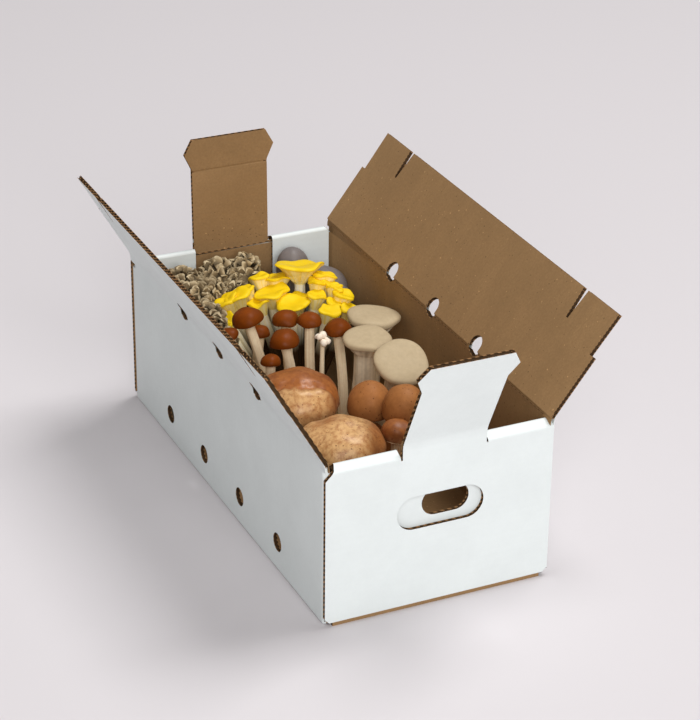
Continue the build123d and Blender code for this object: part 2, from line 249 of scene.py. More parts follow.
def build_mottle(name):
    """Cloudy patches at two scales, as a mask and a height."""
    group, given, result = new_group(name, {"Scale": "Float", "Stretch": "Vector"}, ["Mask", "Height"])
    links = [(0, object_place(group)), (1, given["Stretch"])]
    place = add_node(group, "ShaderNodeVectorMath", links, operation="MULTIPLY").outputs[0]
    finer = math_node(group, "MULTIPLY", given["Scale"], 5.3)
    large = noise_node(group, place, given["Scale"], 3.0, 0.55)
    small = noise_node(group, place, finer, 4.0, 0.6)
    both = math_node(group, "MULTIPLY_ADD", small, 0.45, large)
    group.links.new(map_value(group, both, 0.52, 0.92), result["Mask"])
    group.links.new(both, result["Height"])
    return group


def build_speckle(name):
    """Small scattered specks, as a mask."""
    group, given, result = new_group(name, {"Scale": "Float", "Size": "Float"}, ["Mask"])
    links = [("Vector", object_place(group)), ("Scale", given["Scale"]), ("Randomness", 1.0)]
    cells = add_node(group, "ShaderNodeTexVoronoi", links).outputs
    chance = map_value(group, cells["Color"], 0.45, 1.0)
    reach = math_node(group, "MULTIPLY", chance, given["Size"])
    group.links.new(math_node(group, "LESS_THAN", cells["Distance"], reach), result["Mask"])
    return group


def build_flute_print(name):
    """The faint print of the flutes on a liner, across the length of side panels and up the end panels."""
    group, given, result = new_group(name, {"Pitch": "Float"}, ["Height"])
    place = add_node(group, "ShaderNodeSeparateXYZ", [(0, object_place(group))]).outputs
    facing = add_node(group, "ShaderNodeNewGeometry").outputs["True Normal"]
    normal = add_node(group, "ShaderNodeSeparateXYZ", [(0, facing)]).outputs
    is_end = math_node(group, "GREATER_THAN", math_node(group, "ABSOLUTE", normal["Y"]), 0.5)
    links = [("Factor", is_end), (2, place["Y"]), (3, place["Z"])]
    along = add_node(group, "ShaderNodeMix", links).outputs[0]
    group.links.new(wave_node(group, along, given["Pitch"]), result["Height"])
    return group


def build_flute_ends(name):
    """Where the flutes' hollow cut ends lie, spaced by about a pitch along any edge, as a mask for their
    painted shade.
    """
    group, given, result = new_group(name, {"Pitch": "Float"}, ["Mask"])
    links = [(0, object_place(group)), (1, EDGE_RUN)]
    along = add_node(group, "ShaderNodeVectorMath", links, operation="DOT_PRODUCT").outputs["Value"]
    wave = wave_node(group, along, given["Pitch"])
    group.links.new(map_value(group, wave, -0.35, 0.15), result["Mask"])
    return group


def place_group(tree, name, build, **values):
    """The outputs of a shared group, which is built once, as a node of a material."""
    node = tree.nodes.new("ShaderNodeGroup")
    node.node_tree = bpy.data.node_groups.get(name) or build(name)
    for socket, value in values.items():
        node.inputs[socket].default_value = value
    return node.outputs


def mottle(tree, scale, stretch=(1, 1, 1)):
    """Cloudy patches in a material."""
    return place_group(tree, "Mottle", build_mottle, Scale=scale, Stretch=stretch)


def speckle(tree, scale, size):
    """Specks in a material."""
    return place_group(tree, "Speckle", build_speckle, Scale=scale, Size=size)["Mask"]


# Materials

def new_material(name, roughness, specular):
    """A material with a Principled shader, and its nodes."""
    material = bpy.data.materials.new(name)
    material.use_nodes = True
    inputs = material.node_tree.nodes[SHADER].inputs
    inputs["Roughness"].default_value = roughness
    inputs["Specular IOR Level"].default_value = specular
    return material, material.node_tree


def rgba(colour, level=1.0):
    return (colour[0] * level, colour[1] * level, colour[2] * level, 1.0)


def mix_colours(tree, factor, first, second):
    """A mix of two colours, each a socket or a plain colour."""
    links = [("Factor", factor), (6, first), (7, second)]
    return add_node(tree, "ShaderNodeMix", links, data_type="RGBA").outputs[2]


def tint(tree, colour, target, amount, source, low=0.0, high=1.0):
    """A colour drawn towards another by an amount, as a value goes from low to high."""
    return mix_colours(tree, map_value(tree, source, low, high, 0, amount), colour, target)


def feed_shader(tree, socket, source):
    """Feeds an input of a material's shader."""
    tree.links.new(source, tree.nodes[SHADER].inputs[socket])


def dress(tree, colour, heights):
    """A material's colour, and its bumps in a row, each given as height, strength and distance."""
    feed_shader(tree, "Base Color", colour)
    normal = None
    for height, strength, distance in heights:
        links = [("Height", height), ("Strength", strength), ("Distance", distance)]
        if normal is not None:
            links.append(("Normal", normal))
        normal = add_node(tree, "ShaderNodeBump", links).outputs[0]
    feed_shader(tree, "Normal", normal)


def white_liner(name):
    """Bleached liner: white, a little cloudy, with a faint print of the flutes."""
    board = settings().board
    material, tree = new_material(name, 0.62, 0.25)
    cloud = mottle(tree, 22.0)
    fibre = mottle(tree, 420.0)
    flutes = place_group(tree, "Flute print", build_flute_print, Pitch=board.flute_pitch)
    colour = mix_colours(tree, cloud["Mask"], rgba(board.white), rgba(board.white, 0.955))
    colour = tint(tree, colour, rgba(board.white, 0.86), 0.12, fibre["Mask"])
    heights = (
        (flutes["Height"], 0.05, 0.4 * MM),
        (cloud["Height"], 0.06, 2 * MM),
        (fibre["Height"], 0.10, 0.2 * MM),
    )
    dress(tree, colour, heights)
    return material


def kraft_liner(name):
    """Brown liner: fibre streaks along the flutes, dark and pale specks."""
    board = settings().board
    material, tree = new_material(name, 0.78, 0.2)
    cloud = mottle(tree, 16.0)
    streak = mottle(tree, 70.0, (0.25, 1, 0.25))
    fibre = mottle(tree, 500.0)
    flutes = place_group(tree, "Flute print", build_flute_print, Pitch=board.flute_pitch)
    colour = mix_colours(tree, cloud["Mask"], rgba(board.kraft, 1.05), rgba(board.kraft, 0.88))
    marks = (
        (streak["Mask"], 0.8, 0.5),
        (fibre["Mask"], 0.66, 0.5),
        (speckle(tree, 300.0, 0.24), 0.38, 0.75),
        (speckle(tree, 230.0, 0.2), 1.7, 0.75),
    )
    for mask, level, amount in marks:
        colour = tint(tree, colour, rgba(board.kraft, level), amount, mask)
    heights = (
        (flutes["Height"], 0.03, 0.4 * MM),
        (streak["Height"], 0.10, 0.6 * MM),
        (fibre["Height"], 0.16, 0.2 * MM),
    )
    dress(tree, colour, heights)
    return material


def cut_core(name, level, hollow=0.0):
    """Raw board at a cut edge, with painted shade where the flutes are hollow; a low level paints the shade
    of a recess.
    """
    board = settings().board
    material, tree = new_material(name, 0.88, 0.12)
    fibre = mottle(tree, 320.0)
    torn = mottle(tree, 60.0)
    colour = mix_colours(tree, fibre["Mask"], rgba(board.core, level), rgba(board.core, 0.6 * level))
    colour = tint(tree, colour, rgba(board.core, 1.3 * level), 0.5, torn["Mask"])
    # Painted shade in the hollow flute ends
    if hollow:
        ends = place_group(tree, "Flute ends", build_flute_ends, Pitch=board.flute_pitch)
        colour = tint(tree, colour, rgba(board.core, 0.1), hollow, ends["Mask"])
    dress(tree, colour, [(fibre["Height"], 0.35, 0.3 * MM)])
    return material


def board_materials():
    """White liner, kraft liner, recessed core in painted shade and the flutes' cut ends with painted shade
    in their hollows, in this order.
    """
    makers = {
        "white_liner": white_liner,
        "kraft_liner": kraft_liner,
        # The recessed core, seen in the vents and behind the cut edges, is painted at a fifth of the core
        # colour: painted shade in the recess.
        "cut_core": lambda name: cut_core(name, level=0.2),
        # The cut ends are painted darker where the flutes are hollow: painted shade in the flutes.
        "cut_fibre": lambda name: cut_core(name, level=1.3, hollow=0.85),
    }
    return [bpy.data.materials.get(name) or make(name) for name, make in makers.items()]


WHITE, KRAFT, CORE, FIBRE = range(4)


def finish_mesh(name, mesh, materials, sharp_degrees):
    """An object of a mesh, with its materials, smooth but for its sharp edges."""
    mesh.name = name
    for material in materials:
        mesh.materials.append(material)
    mesh.shade_smooth()
    mesh.set_sharp_from_angle(angle=math.radians(sharp_degrees))
    piece = bpy.data.objects.new(name, mesh)
    bpy.context.scene.collection.objects.link(piece)
    return piece


# Board

TOLERANCE = 0.1 * MM
# The tray: the radius of its folds, the depth of a rolled edge, and from a wall's top to an end's shoulder
FOLD_RADIUS = 3.1 * MM
ROLL_DEPTH = 9 * MM
SHOULDER_DROP = 4.6 * MM
# A lid flap: from its end to the middle of a slit, half the slit's width, and the corner notch
SLIT_PLACE = 56 * MM
SLIT_HALF = 3.9 * MM
NOTCH = 4.3 * MM
# How far the flutes stay behind a cut edge, and a fold's liner stands off its panel
TRAY_INSET = 0.12 * MM
PANEL_INSET = 0.15 * MM
SKIN_LIFT = 0.015 * MM
# Half of a lock tab's outline from its fold to its tip: across, and up the tab
TAB_OUTLINE = ((36.75 * MM, 1 * MM), (36.75 * MM, 68 * MM), (43.5 * MM, 82.5 * MM), (35.85 * MM, 96.5 * MM))
# Points to each flute, and over a fold
FLUTE_STEPS = 10
FOLD_STEPS = 14
# Angles in degrees over which an edge is drawn sharp
BOARD_SHARP = 28
FOLD_SHARP = 50
FLESH_SHARP = 75


def near(value, target):
    return abs(value - target) < TOLERANCE


def tray_levels():
    """Places in the tray that follow from its box and the board."""
    board = settings().board
    _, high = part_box("tray")
    step = board.thickness + board.layer_gap
    hinge = Vector(joints["left_flap_hinge"]["pos_m"])
    return {
        "side": high.x,
        "inner_side": high.x - board.thickness,
        "end": high.y,
        "end_back": high.y - board.thickness,
        "ear": high.y - step,
        "ear_back": high.y - step - board.thickness,
        "lining": high.y - 2 * step - board.thickness,
        "floor": board.thickness,
        "wall_top": hinge.z - board.thickness / 2 - board.layer_gap,
    }


def tray_finish(level):
    """A test of which finish a face of the folded sheet shows."""
    board = settings().board
    tab_half = board.tab_width / 2 + board.tab_slit / 2
    roll_foot = level["wall_top"] - ROLL_DEPTH

    def finish(centre, normal):
        across, along, up = abs(centre.x), abs(centre.y), centre.z
        end = math.copysign(1, centre.y)
        outward = normal.y * end
        sideways = normal.x * math.copysign(1, centre.x)
        from_tab = abs(centre.x + end * board.tab_offset)
        over_ear = along > level["lining"] - 2 * TOLERANCE and from_tab > tab_half
        if over_ear and up > roll_foot and abs(normal.x) < 0.3 and normal.z > 0.02:
            return WHITE
        if along < level["ear"] + TOLERANCE and across > level["side"] - FOLD_RADIUS:
            at_fold = up < FOLD_RADIUS or (along > level["ear"] - FOLD_RADIUS and up < roll_foot)
            if at_fold and max(sideways, outward, -normal.z) > 0.3:
                return WHITE
        if outward > 0.9:
            if up < level["floor"] + 2 * TOLERANCE and not near(along, level["end"]):
                return KRAFT
            return WHITE if near(along, level["end"]) or near(along, level["ear"]) else CORE
        if outward < -0.9:
            if near(along, level["lining"]):
                return WHITE
            return KRAFT if near(along, level["end_back"]) or near(along, level["ear_back"]) else CORE
        if abs(normal.x) > 0.9:
            if along > level["end_back"] - TOLERANCE / 2:
                return CORE
            if near(across, level["side"]):
                return WHITE
            return KRAFT if near(across, level["inner_side"]) else CORE
        if abs(normal.z) > 0.98:
            if near(up, 0):
                return WHITE
            return KRAFT if near(up, level["floor"]) and normal.z > 0 else CORE
        return CORE

    return finish


def hinged_finish(outward):
    """The finish of a hinged panel's faces, told from the direction of its white side."""

    def finish(centre, normal):
        facing = normal.dot(outward)
        if facing > 0.9:
            return WHITE
        return KRAFT if facing < -0.9 else CORE

    return finish


def liner_sheets(node, finish):
    """A node's faces as liners of real thickness, with the core set back behind each cut edge."""
    board = settings().board
    core = bmesh.new()
    core.from_mesh(frame["nodes"][node].data)
    bmesh.ops.remove_doubles(core, verts=core.verts, dist=0.002 * MM)
    for face in core.faces:
        face.material_index = finish(face.calc_center_median(), face.normal)
    sheets = core.copy()
    cut = [face for face in sheets.faces if face.material_index == CORE]
    bmesh.ops.delete(sheets, geom=cut, context="FACES")
    skins = list(sheets.faces)
    bmesh.ops.solidify(sheets, geom=skins, thickness=board.liner)
    for face in set(sheets.faces) - set(skins):
        face.material_index = FIBRE
    lined = [face for face in core.faces if face.material_index != CORE]
    bmesh.ops.delete(core, geom=lined, context="FACES")
    core.normal_update()
    for vertex in core.verts:
        vertex.co -= board.recess * vertex.normal
    part = bpy.data.meshes.new("core_part")
    core.to_mesh(part)
    sheets.from_mesh(part)
    bpy.data.meshes.remove(part)
    core.free()
    return sheets


def join_rows(work, rows, finish):
    """A strip from rows of four points, closed at both ends."""
    corners = [[work.verts.new(point) for point in row] for row in rows]
    for first, second in zip(corners, corners[1:]):
        for number in range(4):
            side = (first[number], second[number], second[number - 3], first[number - 3])
            work.faces.new(side).material_index = finish
    for row in (corners[0], corners[-1]):
        work.faces.new(row).material_index = finish


def add_flutes(sheets, start, end, across, inward):
    """The open flutes along a straight cut edge: one waved ribbon between the two liners."""
    board = settings().board
    run = end - start
    waves = max(1, round(run.length / board.flute_pitch))
    steps = FLUTE_STEPS * waves
    swing = board.thickness / 2 - board.liner
    half = board.liner / 2
    deep = board.flute_depth * inward
    rows = []
    for step in range(steps + 1):
        share = step / steps
        phase = math.tau * waves * share
        slope = swing * math.cos(phase) * math.tau * waves / run.length
        lean = Vector((-slope, 1.0)).normalized()
        centre = start + share * run + swing * math.sin(phase) * across
        offset = half * (lean.x * run.normalized() + lean.y * across)
        rows.append((centre + offset, centre - offset, centre - offset + deep, centre + offset + deep))
    join_rows(sheets, rows, FIBRE)


def board_object(name, work, sharp_degrees):
    """An object of a finished bmesh, in the board's materials."""
    bmesh.ops.recalc_face_normals(work, faces=work.faces)
    mesh = bpy.data.meshes.new(name)
    work.to_mesh(mesh)
    work.free()
    return finish_mesh(name, mesh, board_materials(), sharp_degrees)


def board_piece(name, node, sheets, body):
    """The finished board piece that stands for a node."""
    piece = board_object(name, sheets, BOARD_SHARP)
    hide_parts(node)
    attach(piece, body)


class KITBOX_OT_tray(bpy.types.Operator):
    """Folded tray: white outside and over the rolled ends, kraft inside, flutes open at its cut edges"""

    bl_idname = "kitbox.tray"
    bl_label = "Tray"

    def execute(self, context):
        board = settings().board
        level = tray_levels()
        sheets = liner_sheets("tray", tray_finish(level))
        half = board.thickness / 2
        shoulder = level["wall_top"] - SHOULDER_DROP
        ear_top = shoulder - board.thickness
        lining_foot = level["floor"] + board.layer_gap
        tab_half = board.tab_width / 2 + board.tab_slit
        for end in (1, -1):
            for side in (1, -1):
                corner = side * (level["side"] - TRAY_INSET)
                corner_top = shoulder - (board.corner_cut if side == end else half)
                tab_edge = -end * board.tab_offset + side * (tab_half + TRAY_INSET)
                wall_edge = side * (level["side"] - board.corner_cut - TRAY_INSET)
                panel = end * (level["end"] - half)
                lining = end * (level["lining"] + half)
                cut_edges = (
                    (corner, panel, level["floor"] + half, corner_top, -side),
                    (tab_edge, lining, lining_foot, ear_top, side),
                    (wall_edge, lining, lining_foot, ear_top, -side),
                )
                for across, along, foot, top, inward in cut_edges:
                    add_flutes(
                        sheets,
                        Vector((across, along, foot)),
                        Vector((across, along, top)),
                        Vector((0, end, 0)),
                        Vector((inward, 0, 0)),
                    )
        board_piece("tray_board", "tray", sheets, "tray")
        return {"FINISHED"}


def away_from_middle(pivot, axis):
    """The level direction square to a hinge that points out of the box."""
    outward = Vector((pivot.x, pivot.y, 0))
    return (outward - outward.dot(axis) * axis).normalized()


def panel_rise(points, pivot, axis):
    """The way a flat hinged panel rises: the middle of its far edge, seen from the hinge."""
    arms = []
    for point in points:
        arm = point - pivot
        arms.append(arm - arm.dot(axis) * axis)
    reach = max(arm.length for arm in arms)
    far = [arm for arm in arms if arm.length > reach - 2 * TOLERANCE]
    across = axis.cross(far[0])
    return (min(far, key=across.dot) + max(far, key=across.dot)).normalized()


def hinge_frame(joint_name, node):
    """A hinge's axis point, its axis, the way its panel rises at rest, and the panel's white side."""
    joint = joints[joint_name]
    pivot = Vector(joint["pos_m"])
    axis = Vector(joint["axis"]).normalized()
    points = [vertex.co for vertex in frame["nodes"][node].data.vertices]
    rise = panel_rise(points, pivot, axis)
    white = axis.cross(rise).normalized()
    if white.dot(away_from_middle(pivot, axis)) < 0:
        white.negate()
    return pivot, axis, rise, white


class KITBOX_OT_lid_flaps(bpy.types.Operator):
    """Two lid flaps with slits, notches and vents, flutes open along their free edges"""

    bl_idname = "kitbox.lid_flaps"
    bl_label = "Lid flaps"

    def execute(self, context):
        for side in ("left", "right"):
            node = f"{side}_lid_flap"
            pivot, _, rise, white = hinge_frame(f"{side}_flap_hinge", node)
            sheets = liner_sheets(node, hinged_finish(white))
            points = [vertex.co for vertex in frame["nodes"][node].data.vertices]
            reach = max((point - pivot).dot(rise) for point in points) - PANEL_INSET
            half_length = max(abs(point.y) for point in points)
            slit = half_length - SLIT_PLACE
            runs = (
                (NOTCH - half_length, -slit - SLIT_HALF),
                (SLIT_HALF - slit, slit - SLIT_HALF),
                (slit + SLIT_HALF, half_length - NOTCH),
            )
            for first, last in runs:
                start = Vector((pivot.x, first, pivot.z)) + reach * rise
                stop = Vector((pivot.x, last, pivot.z)) + reach * rise
                add_flutes(sheets, start, stop, white, -rise)
            board_piece(f"{side}_lid_flap_board", node, sheets, node)
        return {"FINISHED"}


class KITBOX_OT_lock_tabs(bpy.types.Operator):
    """Two arrow-headed lock tabs, flutes open at their sides"""

    bl_idname = "kitbox.lock_tabs"
    bl_label = "Lock tabs"

    def execute(self, context):
        for end in ("front", "rear"):
            node = f"{end}_lock_tab"
            pivot, _, rise, white = hinge_frame(f"{end}_tab_hinge", node)
            sheets = liner_sheets(node, hinged_finish(white))
            for side in (1, -1):
                across = Vector((side, 0, 0))
                corners = [pivot + (out - PANEL_INSET) * across + up * rise for out, up in TAB_OUTLINE]
                for start, stop in zip(corners, corners[1:]):
                    add_flutes(sheets, start, stop, white, -across)
            board_piece(f"{end}_lock_tab_board", node, sheets, node)
        return {"FINISHED"}


def fold_skin(name, joint_name, node, white_side, runs):
    """The liner over a fold, in runs along the hinge: it follows the tray below and the panel above."""
    board = settings().board
    pivot, axis, rise, white = hinge_frame(joint_name, node)
    outward = away_from_middle(pivot, axis)
    up = Vector((0, 0, 1))
    hand = 1 if white_side else -1
    stand_off = hand * (board.thickness / 2 + SKIN_LIFT)
    start = pivot + stand_off * outward - board.fold_reach * up
    stop = pivot + stand_off * white + board.fold_reach * rise
    lean = math.acos(max(-1.0, min(1.0, rise.dot(up))))
    inwards = 1 if rise.dot(outward) < 0 else -1
    crease = pivot + stand_off * outward + inwards * stand_off * math.tan(lean / 2) * up
    lift = board.liner * hand
    line = axis if axis.x + axis.y > 0 else -axis
    skin = bmesh.new()
    for first, last in runs:
        near_end, far_end = first * line, last * line
        rows = []
        for step in range(FOLD_STEPS + 1):
            share = step / FOLD_STEPS
            outer = (1 - share) ** 2 * start + 2 * share * (1 - share) * crease + share**2 * stop
            inner = outer - lift * (outward * (1 - share) + white * share).normalized()
            rows.append((outer + near_end, outer + far_end, inner + far_end, inner + near_end))
        join_rows(skin, rows, WHITE if white_side else KRAFT)
    piece = board_object(name, skin, FOLD_SHARP)
    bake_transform(piece)


def fold_skins(place, joint_name, node, runs):
    """The liners on both sides of a fold."""
    for name, white_side in (("outer", True), ("inner", False)):
        fold_skin(f"{place}_fold_{name}_liner", joint_name, node, white_side, runs)


class KITBOX_OT_folds(bpy.types.Operator):
    """Liners over the four hinged folds"""

    bl_idname = "kitbox.folds"
    bl_label = "Folds"

    def execute(self, context):
        board = settings().board
        half = board.vent_diameter / 2
        for side in ("left", "right"):
            node = f"{side}_lid_flap"
            low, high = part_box(node)
            runs = (
                (low.y, -board.vent_pitch - half),
                (-board.vent_pitch + half, -half),
                (half, board.vent_pitch - half),
                (board.vent_pitch + half, high.y),
            )
            fold_skins(side, f"{side}_flap_hinge", node, runs)
        for end in ("front", "rear"):
            runs = ((-board.tab_width / 2, board.tab_width / 2),)
            fold_skins(end, f"{end}_tab_hinge", f"{end}_lock_tab", runs)
        return {"FINISHED"}


# Mushrooms

# Where the mushrooms stand, as shares of half the inside width, half the inside length and the inside
# height. A row is the foot, then the place and height of the crown, then the size of the cap.
PIOPPINO_SHARES = {
    "pioppino_1": (-0.17, 0.34, -0.45, 0.40, 0.955, 1.0),
    "pioppino_2": (0.02, 0.317, -0.093, 0.361, 0.92, 0.84),
    "pioppino_3": (0.155, 0.257, 0.062, 0.267, 0.947, 0.77),
    "pioppino_4": (-0.062, 0.198, -0.26, 0.193, 0.912, 0.93),
    "pioppino_5": (0.31, 0.168, 0.29, 0.208, 0.908, 0.91),
    "pioppino_6": (-0.25, 0.47, -0.26, 0.445, 0.784, 0.62),
    "pioppino_7": (-0.467, 0.272, -0.705, 0.297, 0.92, 0.6),
    "pioppino_8": (-0.456, 0.119, -0.467, 0.099, 0.84, 0.6),
}
YOUNG_SHARES = (0.104, 0.139, 0.073, 0.134, 0.919, 0.45)
KING_SHARES = {
    "king_oyster_1": (0.62, 0.247, 0.716, 0.262, 0.876, 1.0),
    "king_oyster_2": (0.373, 0.079, 0.425, 0.035, 0.905, 0.9),
    "king_oyster_3": (0.70, 0.09, 0.519, -0.203, 0.883, 0.98),
}
# A cluster is the place of its base, then its caps: the place, height and size of each.
GOLDEN_BASE_SHARES = (0.228, 0.574)
GOLDEN_CAP_SHARES = (
    (0.415, 0.735, 0.965, 0.92),
    (0.02, 0.782, 0.9, 0.44),
    (-0.17, 0.708, 0.885, 0.34),
    (-0.33, 0.663, 0.885, 0.57),
    (0.04, 0.663, 0.865, 0.72),
    (0.166, 0.559, 0.835, 0.72),
    (0.622, 0.673, 0.905, 0.48),
    (0.622, 0.564, 0.885, 0.36),
    (0.664, 0.515, 0.86, 0.48),
    (0.68, 0.443, 0.8, 0.44),
    (0.425, 0.416, 0.84, 0.44),
    (0.425, 0.559, 0.86, 0.44),
)
GREY_BASE_SHARES = (0.58, 0.86)
GREY_CAP_SHARES = (
    (0.48, 0.91, 0.95, 0.52),
    (0.74, 0.8, 0.84, 0.8),
)
MAITAKE_BASE_SHARES = (-0.64, 0.73)
MAITAKE_TUFT_SHARES = (
    (-0.74, 0.53, 0.95, 1.0),
    (-0.72, 0.7, 0.965, 1.0),
    (-0.66, 0.87, 0.965, 1.0),
    (-0.3, 0.9, 0.965, 0.85),
    (0.0, 0.915, 0.955, 0.7),
)
# Small caps and fronds that fill a cluster between its main ones.
GOLDEN_FILL_SHARES = (
    (0.17, 0.76, 0.89, 0.6),
    (-0.5, 0.58, 0.79, 0.42),
    (-0.55, 0.525, 0.77, 0.36),
    (-0.43, 0.655, 0.87, 0.44),
    (0.5, 0.63, 0.9, 0.42),
    (0.29, 0.62, 0.82, 0.46),
    (-0.12, 0.63, 0.83, 0.42),
    (0.55, 0.49, 0.83, 0.38),
    (0.63, 0.61, 0.88, 0.42),
)
GREY_FILL_SHARES = ((0.8, 0.68, 0.77, 0.52),)
MAITAKE_FILL_SHARES = (
    (-0.66, 0.61, 0.87, 0.72),
    (-0.47, 0.78, 0.91, 0.85),
    (-0.62, 0.45, 0.8, 0.6),
    (-0.17, 0.85, 0.86, 0.6),
    (-0.82, 0.62, 0.9, 0.6),
)
# A foot's radius to its stem's, and how far a cluster's stems spread and rise in its base
FOOT_SHARE = 1.15
SPREAD_SHARE = 0.2
ROOT_SHARE = 0.28
# Rows of points down a cap, its gills, a stem and a cluster's base
CAP_ROWS = 16
GILL_ROWS = 9
STEM_ROWS = 14
BASE_ROWS = 10
# Where the gills start, as a share of the cap's radius
GILL_SHARE = 0.925
# The young buds on one stem: how many, the turn from one to the next, their lean and their length
BUD_COUNT = 7
BUD_TURN = 2.4
BUD_LEAN = 0.9
BUD_REACH = 9 * MM
# The way that the creases of the shiitake run, askew to the box
CREASE_ACROSS = 0.908
CREASE_ALONG = -0.418
# Diameters of the clusters' bases
GOLDEN_BASE = 40 * MM
GREY_BASE = 34 * MM
MAITAKE_BASE = 50 * MM
# A maitake tuft of full size: its radius, its fronds, and the turn from one frond to the next
TUFT_RADIUS = 20 * MM
TUFT_FRONDS = 92
GOLDEN_ANGLE = 2.39996
BLACK = (0, 0, 0)
BRIGHT = (1, 1, 1)


class Kind(NamedTuple):
    """The form of one kind of mushroom, in metres and shares."""

    cap: float
    cap_height: float
    stem: float
    rim_share: float = -0.12
    flatness: float = 0.85
    dip: float = 0.0
    lip: float = 1.6 * MM
    gill_depth: float = 1.1 * MM
    run_down: float = 0.0
    lobes: float = 0.03
    waves: float = 0.7 * MM
    dent: float = 0.5 * MM
    dent_size: float = 11 * MM
    furrow: float = 0.04
    bend: float = 3 * MM


PIOPPINO = Kind(
    29 * MM, 13 * MM, 9 * MM, rim_share=0.1, flatness=1.0, lip=0.8 * MM, run_down=1.5 * MM, lobes=0.06,
    waves=1.2 * MM, furrow=0.015,
)
KING = Kind(
    48 * MM, 11 * MM, 25 * MM, rim_share=0.35, flatness=0.5, dip=0.8 * MM, lip=0.9 * MM, run_down=9 * MM,
    lobes=0.06, waves=1.3 * MM, dent=0.5 * MM, dent_size=24 * MM, furrow=0.012, bend=2 * MM,
)
SHIITAKE = Kind(
    64 * MM, 23 * MM, 15 * MM, flatness=0.75, lip=3.2 * MM, gill_depth=1.6 * MM, lobes=0.06, waves=1.2 * MM,
    dent=2.4 * MM, dent_size=17 * MM, bend=1 * MM,
)
CREMINI = Kind(
    37 * MM, 22 * MM, 15 * MM, flatness=0.9, lip=2.6 * MM, lobes=0.02, waves=0.4 * MM, dent=0.8 * MM,
    dent_size=13 * MM, bend=1 * MM,
)
GOLDEN = Kind(
    46 * MM, 9 * MM, 10 * MM, rim_share=0.62, flatness=0.7, dip=4.2 * MM, lip=0.8 * MM, gill_depth=1.2 * MM,
    run_down=12 * MM, lobes=0.18, waves=3.2 * MM, dent=0.9 * MM, dent_size=9 * MM, bend=2 * MM,
)
GREY = Kind(
    60 * MM, 20 * MM, 16 * MM, lip=2.2 * MM, gill_depth=1.4 * MM, run_down=8 * MM, lobes=0.06,
    waves=1.8 * MM, dent=0.8 * MM, dent_size=24 * MM, furrow=0.05, bend=2 * MM,
)

CAP, GILL, STEM = range(3)


def inside():
    """Half the width, half the length and the height inside the tray, and its floor."""
    level = tray_levels()
    floor = level["floor"] + settings().board.layer_gap
    return level["inner_side"], level["lining"], level["wall_top"] - level["floor"], floor


def standing_place(across_share, along_share, height_share):
    """A point over the tray's floor."""
    half_width, half_length, height, floor = inside()
    return Vector((across_share * half_width, along_share * half_length, floor + height_share * height))


class Shell:
    """Points joined into closed surfaces, with a tone and a mark from 0 to 1 at each point."""

    def __init__(self):
        self.points = []
        self.tones = []
        self.marks = []
        self.faces = []
        self.slots = []

    def add_rings(self, rings, tones, slots, marks=None):
        """Rings of points joined in turn. A ring of one point closes an end."""
        starts = []
        for number, (ring, tone) in enumerate(zip(rings, tones)):
            starts.append(len(self.points))
            self.points.extend(tuple(point) for point in ring)
            self.tones.extend([tone] * len(ring))
            self.marks.extend(marks[number] if marks else [0.0] * len(ring))
        for number in range(len(rings) - 1):
            here, there = starts[number], starts[number + 1]
            count, following = len(rings[number]), len(rings[number + 1])
            most = max(count, following)
            for index in range(most):
                step = (index + 1) % most
                if count == 1:
                    self.faces.append((here, there + index, there + step))
                elif following == 1:
                    self.faces.append((here + index, there, here + step))
                else:
                    self.faces.append((here + index, there + index, there + step, here + step))
            self.slots.extend([slots[number]] * most)

    def to_mesh(self, name):
        mesh = bpy.data.meshes.new(name)
        mesh.from_pydata(self.points, [], self.faces)
        mesh.polygons.foreach_set("material_index", self.slots)
        for label, values in (("tone", self.tones), ("mark", self.marks)):
            attribute = mesh.attributes.new(label, "FLOAT", "POINT")
            attribute.data.foreach_set("value", values)
        mesh.update()
        work = bmesh.new()
        work.from_mesh(mesh)
        bmesh.ops.recalc_face_normals(work, faces=work.faces)
        work.to_mesh(mesh)
        work.free()
        return mesh


def sway(rng, angles, lowest, highest, amount):
    """A smooth wave round a ring, from a few whole turns of random phase."""
    total = np.zeros_like(angles)
    for turns in range(lowest, highest + 1):
        total += amount / turns * np.cos(turns * angles + rng.uniform(0, math.tau))
    return total


def cap_rows(kind, radius, reach, neck, rim, neck_radius, small):
    """A cap's rows from crown over rim to neck: share of the radius, level, slot, tone and pleat."""
    rows = []
    for step in range(1, CAP_ROWS + 1):
        turn = (1 - (1 - step / CAP_ROWS) ** 1.3) * math.pi / 2
        share = math.sin(turn)
        lift = max(0.0, math.cos(turn)) ** kind.flatness
        level = rim + (reach - rim) * lift - kind.dip * small * (1 - share**2) ** 2
        rows.append((share, level, CAP, 0.85 * step / CAP_ROWS, 0.0))
    lip = kind.lip * small
    rolled = ((0.99, 0.5, CAP, 0.93), (0.965, 0.85, CAP, 0.97), (GILL_SHARE, 1.0, GILL, 1.0))
    for share, drop, slot, tone in rolled:
        rows.append((share, rim - drop * lip, slot, tone, 0.0))
    low = neck - kind.run_down * small
    for step in range(1, GILL_ROWS + 1):
        share = step / GILL_ROWS
        out = GILL_SHARE + (neck_radius / radius - GILL_SHARE) * share
        level = rim - lip + (low - rim + lip) * share**1.25
        pleat = kind.gill_depth * small * math.sin(math.pi * share) ** 0.5 if step < GILL_ROWS else 0.0
        rows.append((out, level, GILL, 1 - share, pleat))
    return rows


